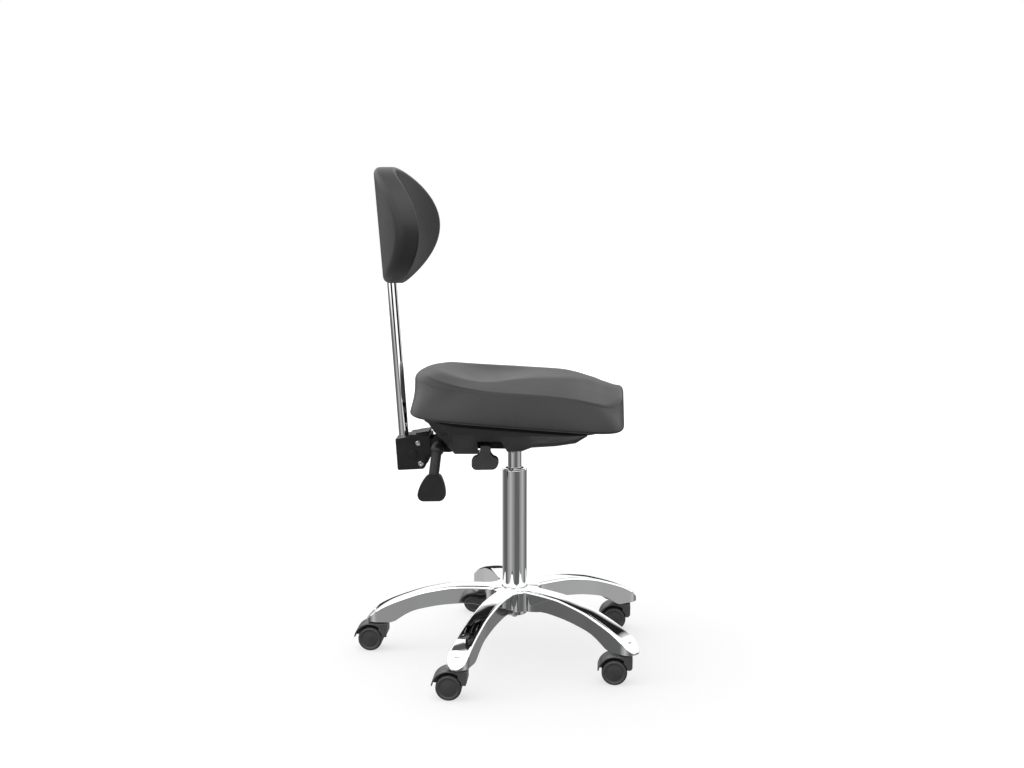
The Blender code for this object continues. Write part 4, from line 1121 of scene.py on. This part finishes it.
# pools and strips: (degrees right of the viewer's side of the stool, brightness)
studioSettings = {
    "viewer": 86.1,
    "pools": [(-162, 0.55), (-128, 0.26), (-108, 0.12), (-80, 0.12), (-60, 0.34), (-38, 0.50), (-12, 0.30),
              (8, 0.13), (38, 0.13), (58, 0.34), (80, 0.50), (104, 0.26), (126, 0.13), (150, 0.30)],
    "strips": [(-176, 0.02), (-150, 0.02), (-140, 1.0), (-128, 1.0), (-124, 0.10), (-84, 0.08), (-76, 1.5),
               (-38, 1.6), (-32, 0.01), (4, 0.01), (10, 1.2), (50, 1.3), (56, 0.02), (108, 0.03),
               (114, 1.0), (136, 1.0), (146, 0.02), (176, 0.02)],
    "ceiling": [(0.0, 1.2), (0.5, 1.2), (0.585, 1.3), (0.605, 0.015), (0.645, 0.015), (0.655, 1.6),
                (0.678, 1.6), (0.688, 0.10), (0.712, 0.10), (0.730, 2.0), (0.93, 2.0), (1.0, 1.0)],
    "flank": 1.3,
    "poolTop": (-0.16, -0.12),
    "stripTop": (0.07, 0.12),
    "flankStart": (0.42, 0.52),
}
fillSettings = {"towards": (-0.45, 0.10, 0.88), "dark": 0.12, "light": 1.30}


def makeWorld():
    # white to the camera, and to metal a studio of soft strips over a grey floor
    world = bpy.data.worlds.new("studio")
    bpy.context.scene.world = world
    world.use_nodes = True
    tree = world.node_tree
    nodes, links = tree.nodes, tree.links
    nodes.clear()
    output = nodes.new("ShaderNodeOutputWorld")
    place = nodes.new("ShaderNodeTexCoord").outputs["Generated"]
    parts = nodes.new("ShaderNodeSeparateXYZ")
    links.new(place, parts.inputs["Vector"])

    def ramp(source, stops, kind="LINEAR"):
        node = nodes.new("ShaderNodeValToRGB")
        node.color_ramp.interpolation = kind
        elements = node.color_ramp.elements
        elements.remove(elements[1])
        elements[0].position = stops[0][0]
        elements[0].color = (stops[0][1], stops[0][1], stops[0][1], 1.0)
        for position, level in stops[1:]:
            elements.new(position).color = (level, level, level, 1.0)
        links.new(source, node.inputs["Fac"])
        return node.outputs["Color"]

    def around(vector):
        node = nodes.new("ShaderNodeTexGradient")
        node.gradient_type = "RADIAL"
        links.new(vector, node.inputs["Vector"])
        return node.outputs["Color"]

    def blend(amount, first, second=None):
        node = nodes.new("ShaderNodeMixRGB")
        links.new(amount, node.inputs["Fac"])
        links.new(first, node.inputs["Color1"])
        if second is not None:
            links.new(second, node.inputs["Color2"])
        return node

    def choose(rayKind, other, chosen):
        node = nodes.new("ShaderNodeMixShader")
        links.new(rayKind, node.inputs["Fac"])
        links.new(other, node.inputs[1])
        links.new(chosen, node.inputs[2])
        return node.outputs["Shader"]

    def azimuths(stops):
        # as shares of a full turn
        placed = sorted((((degrees - studioSettings["viewer"] + 180.0) / 360.0) % 1.0, level)
                        for degrees, level in stops)
        return [(0.0, placed[0][1]), *placed, (1.0, placed[-1][1])]

    level = around(place)
    pools = ramp(level, azimuths(studioSettings["pools"]), "EASE")
    strips = ramp(level, azimuths(studioSettings["strips"]))
    height = addRange(world, parts.outputs["Z"], 0.0, 1.0, *studioSettings["poolTop"])
    sides = blend(height, pools, strips)

    # overhead the studio changes from the wall behind the stool, over the top, to the viewer's side
    arch = nodes.new("ShaderNodeCombineXYZ")
    links.new(parts.outputs["Y"], arch.inputs["X"])
    links.new(parts.outputs["Z"], arch.inputs["Y"])
    ceiling = ramp(around(arch.outputs["Vector"]), studioSettings["ceiling"])
    aside = nodes.new("ShaderNodeMath")
    aside.operation = "ABSOLUTE"
    links.new(parts.outputs["X"], aside.inputs[0])
    flanks = blend(addRange(world, aside.outputs["Value"], 0.0, 1.0, *studioSettings["flankStart"]), ceiling)
    flanks.inputs["Color2"].default_value = (*[studioSettings["flank"]] * 3, 1.0)
    lift = addRange(world, parts.outputs["Z"], 0.0, 1.0, *studioSettings["stripTop"])
    seen = blend(lift, sides.outputs["Color"], flanks.outputs["Color"])

    studio = nodes.new("ShaderNodeBackground")
    links.new(seen.outputs["Color"], studio.inputs["Color"])
    backdrop = nodes.new("ShaderNodeBackground")
    backdrop.inputs["Color"].default_value = (1.0, 1.0, 1.0, 1.0)
    slant = nodes.new("ShaderNodeVectorMath")
    slant.operation = "DOT_PRODUCT"
    slant.inputs[1].default_value = fillSettings["towards"]
    links.new(place, slant.inputs[0])
    fill = nodes.new("ShaderNodeBackground")
    fill.inputs["Color"].default_value = (1.0, 1.0, 1.0, 1.0)
    strength = addRange(world, slant.outputs["Value"], fillSettings["dark"], fillSettings["light"], -1.0, 1.0)
    links.new(strength, fill.inputs["Strength"])
    rays = nodes.new("ShaderNodeLightPath").outputs
    softRays = choose(rays["Is Glossy Ray"], fill.outputs["Background"], studio.outputs["Background"])
    allRays = choose(rays["Is Camera Ray"], softRays, backdrop.outputs["Background"])
    links.new(allRays, output.inputs["Surface"])


cameraSettings = {"place": (0.2265, -2.8218, 1.008), "tilt": 81.01, "turn": 3.9, "lens": 50.0,
                  "sensor": 36.0}


def makeCamera():
    data = bpy.data.cameras.new("camera")
    data.lens = cameraSettings["lens"]
    data.sensor_width = cameraSettings["sensor"]
    data.clip_start = 0.05
    camera = bpy.data.objects.new("camera", data)
    bpy.context.scene.collection.objects.link(camera)
    camera.location = cameraSettings["place"]
    camera.rotation_euler = (math.radians(cameraSettings["tilt"]), 0.0, math.radians(cameraSettings["turn"]))
    bpy.context.scene.camera = camera


makeStage()
makeWorld()
addArea("topLight", (-0.3, -0.2, 3.2), (0.0, 0.0, 0.3), 1.8, 1.8, 13.0)
addArea("leftLight", (-2.6, -0.6, 1.8), (0.0, 0.0, 0.6), 1.4, 2.0, 14.0)
makeCamera()
bpy.context.scene.view_settings.view_transform = "Standard"
print("stage ready")
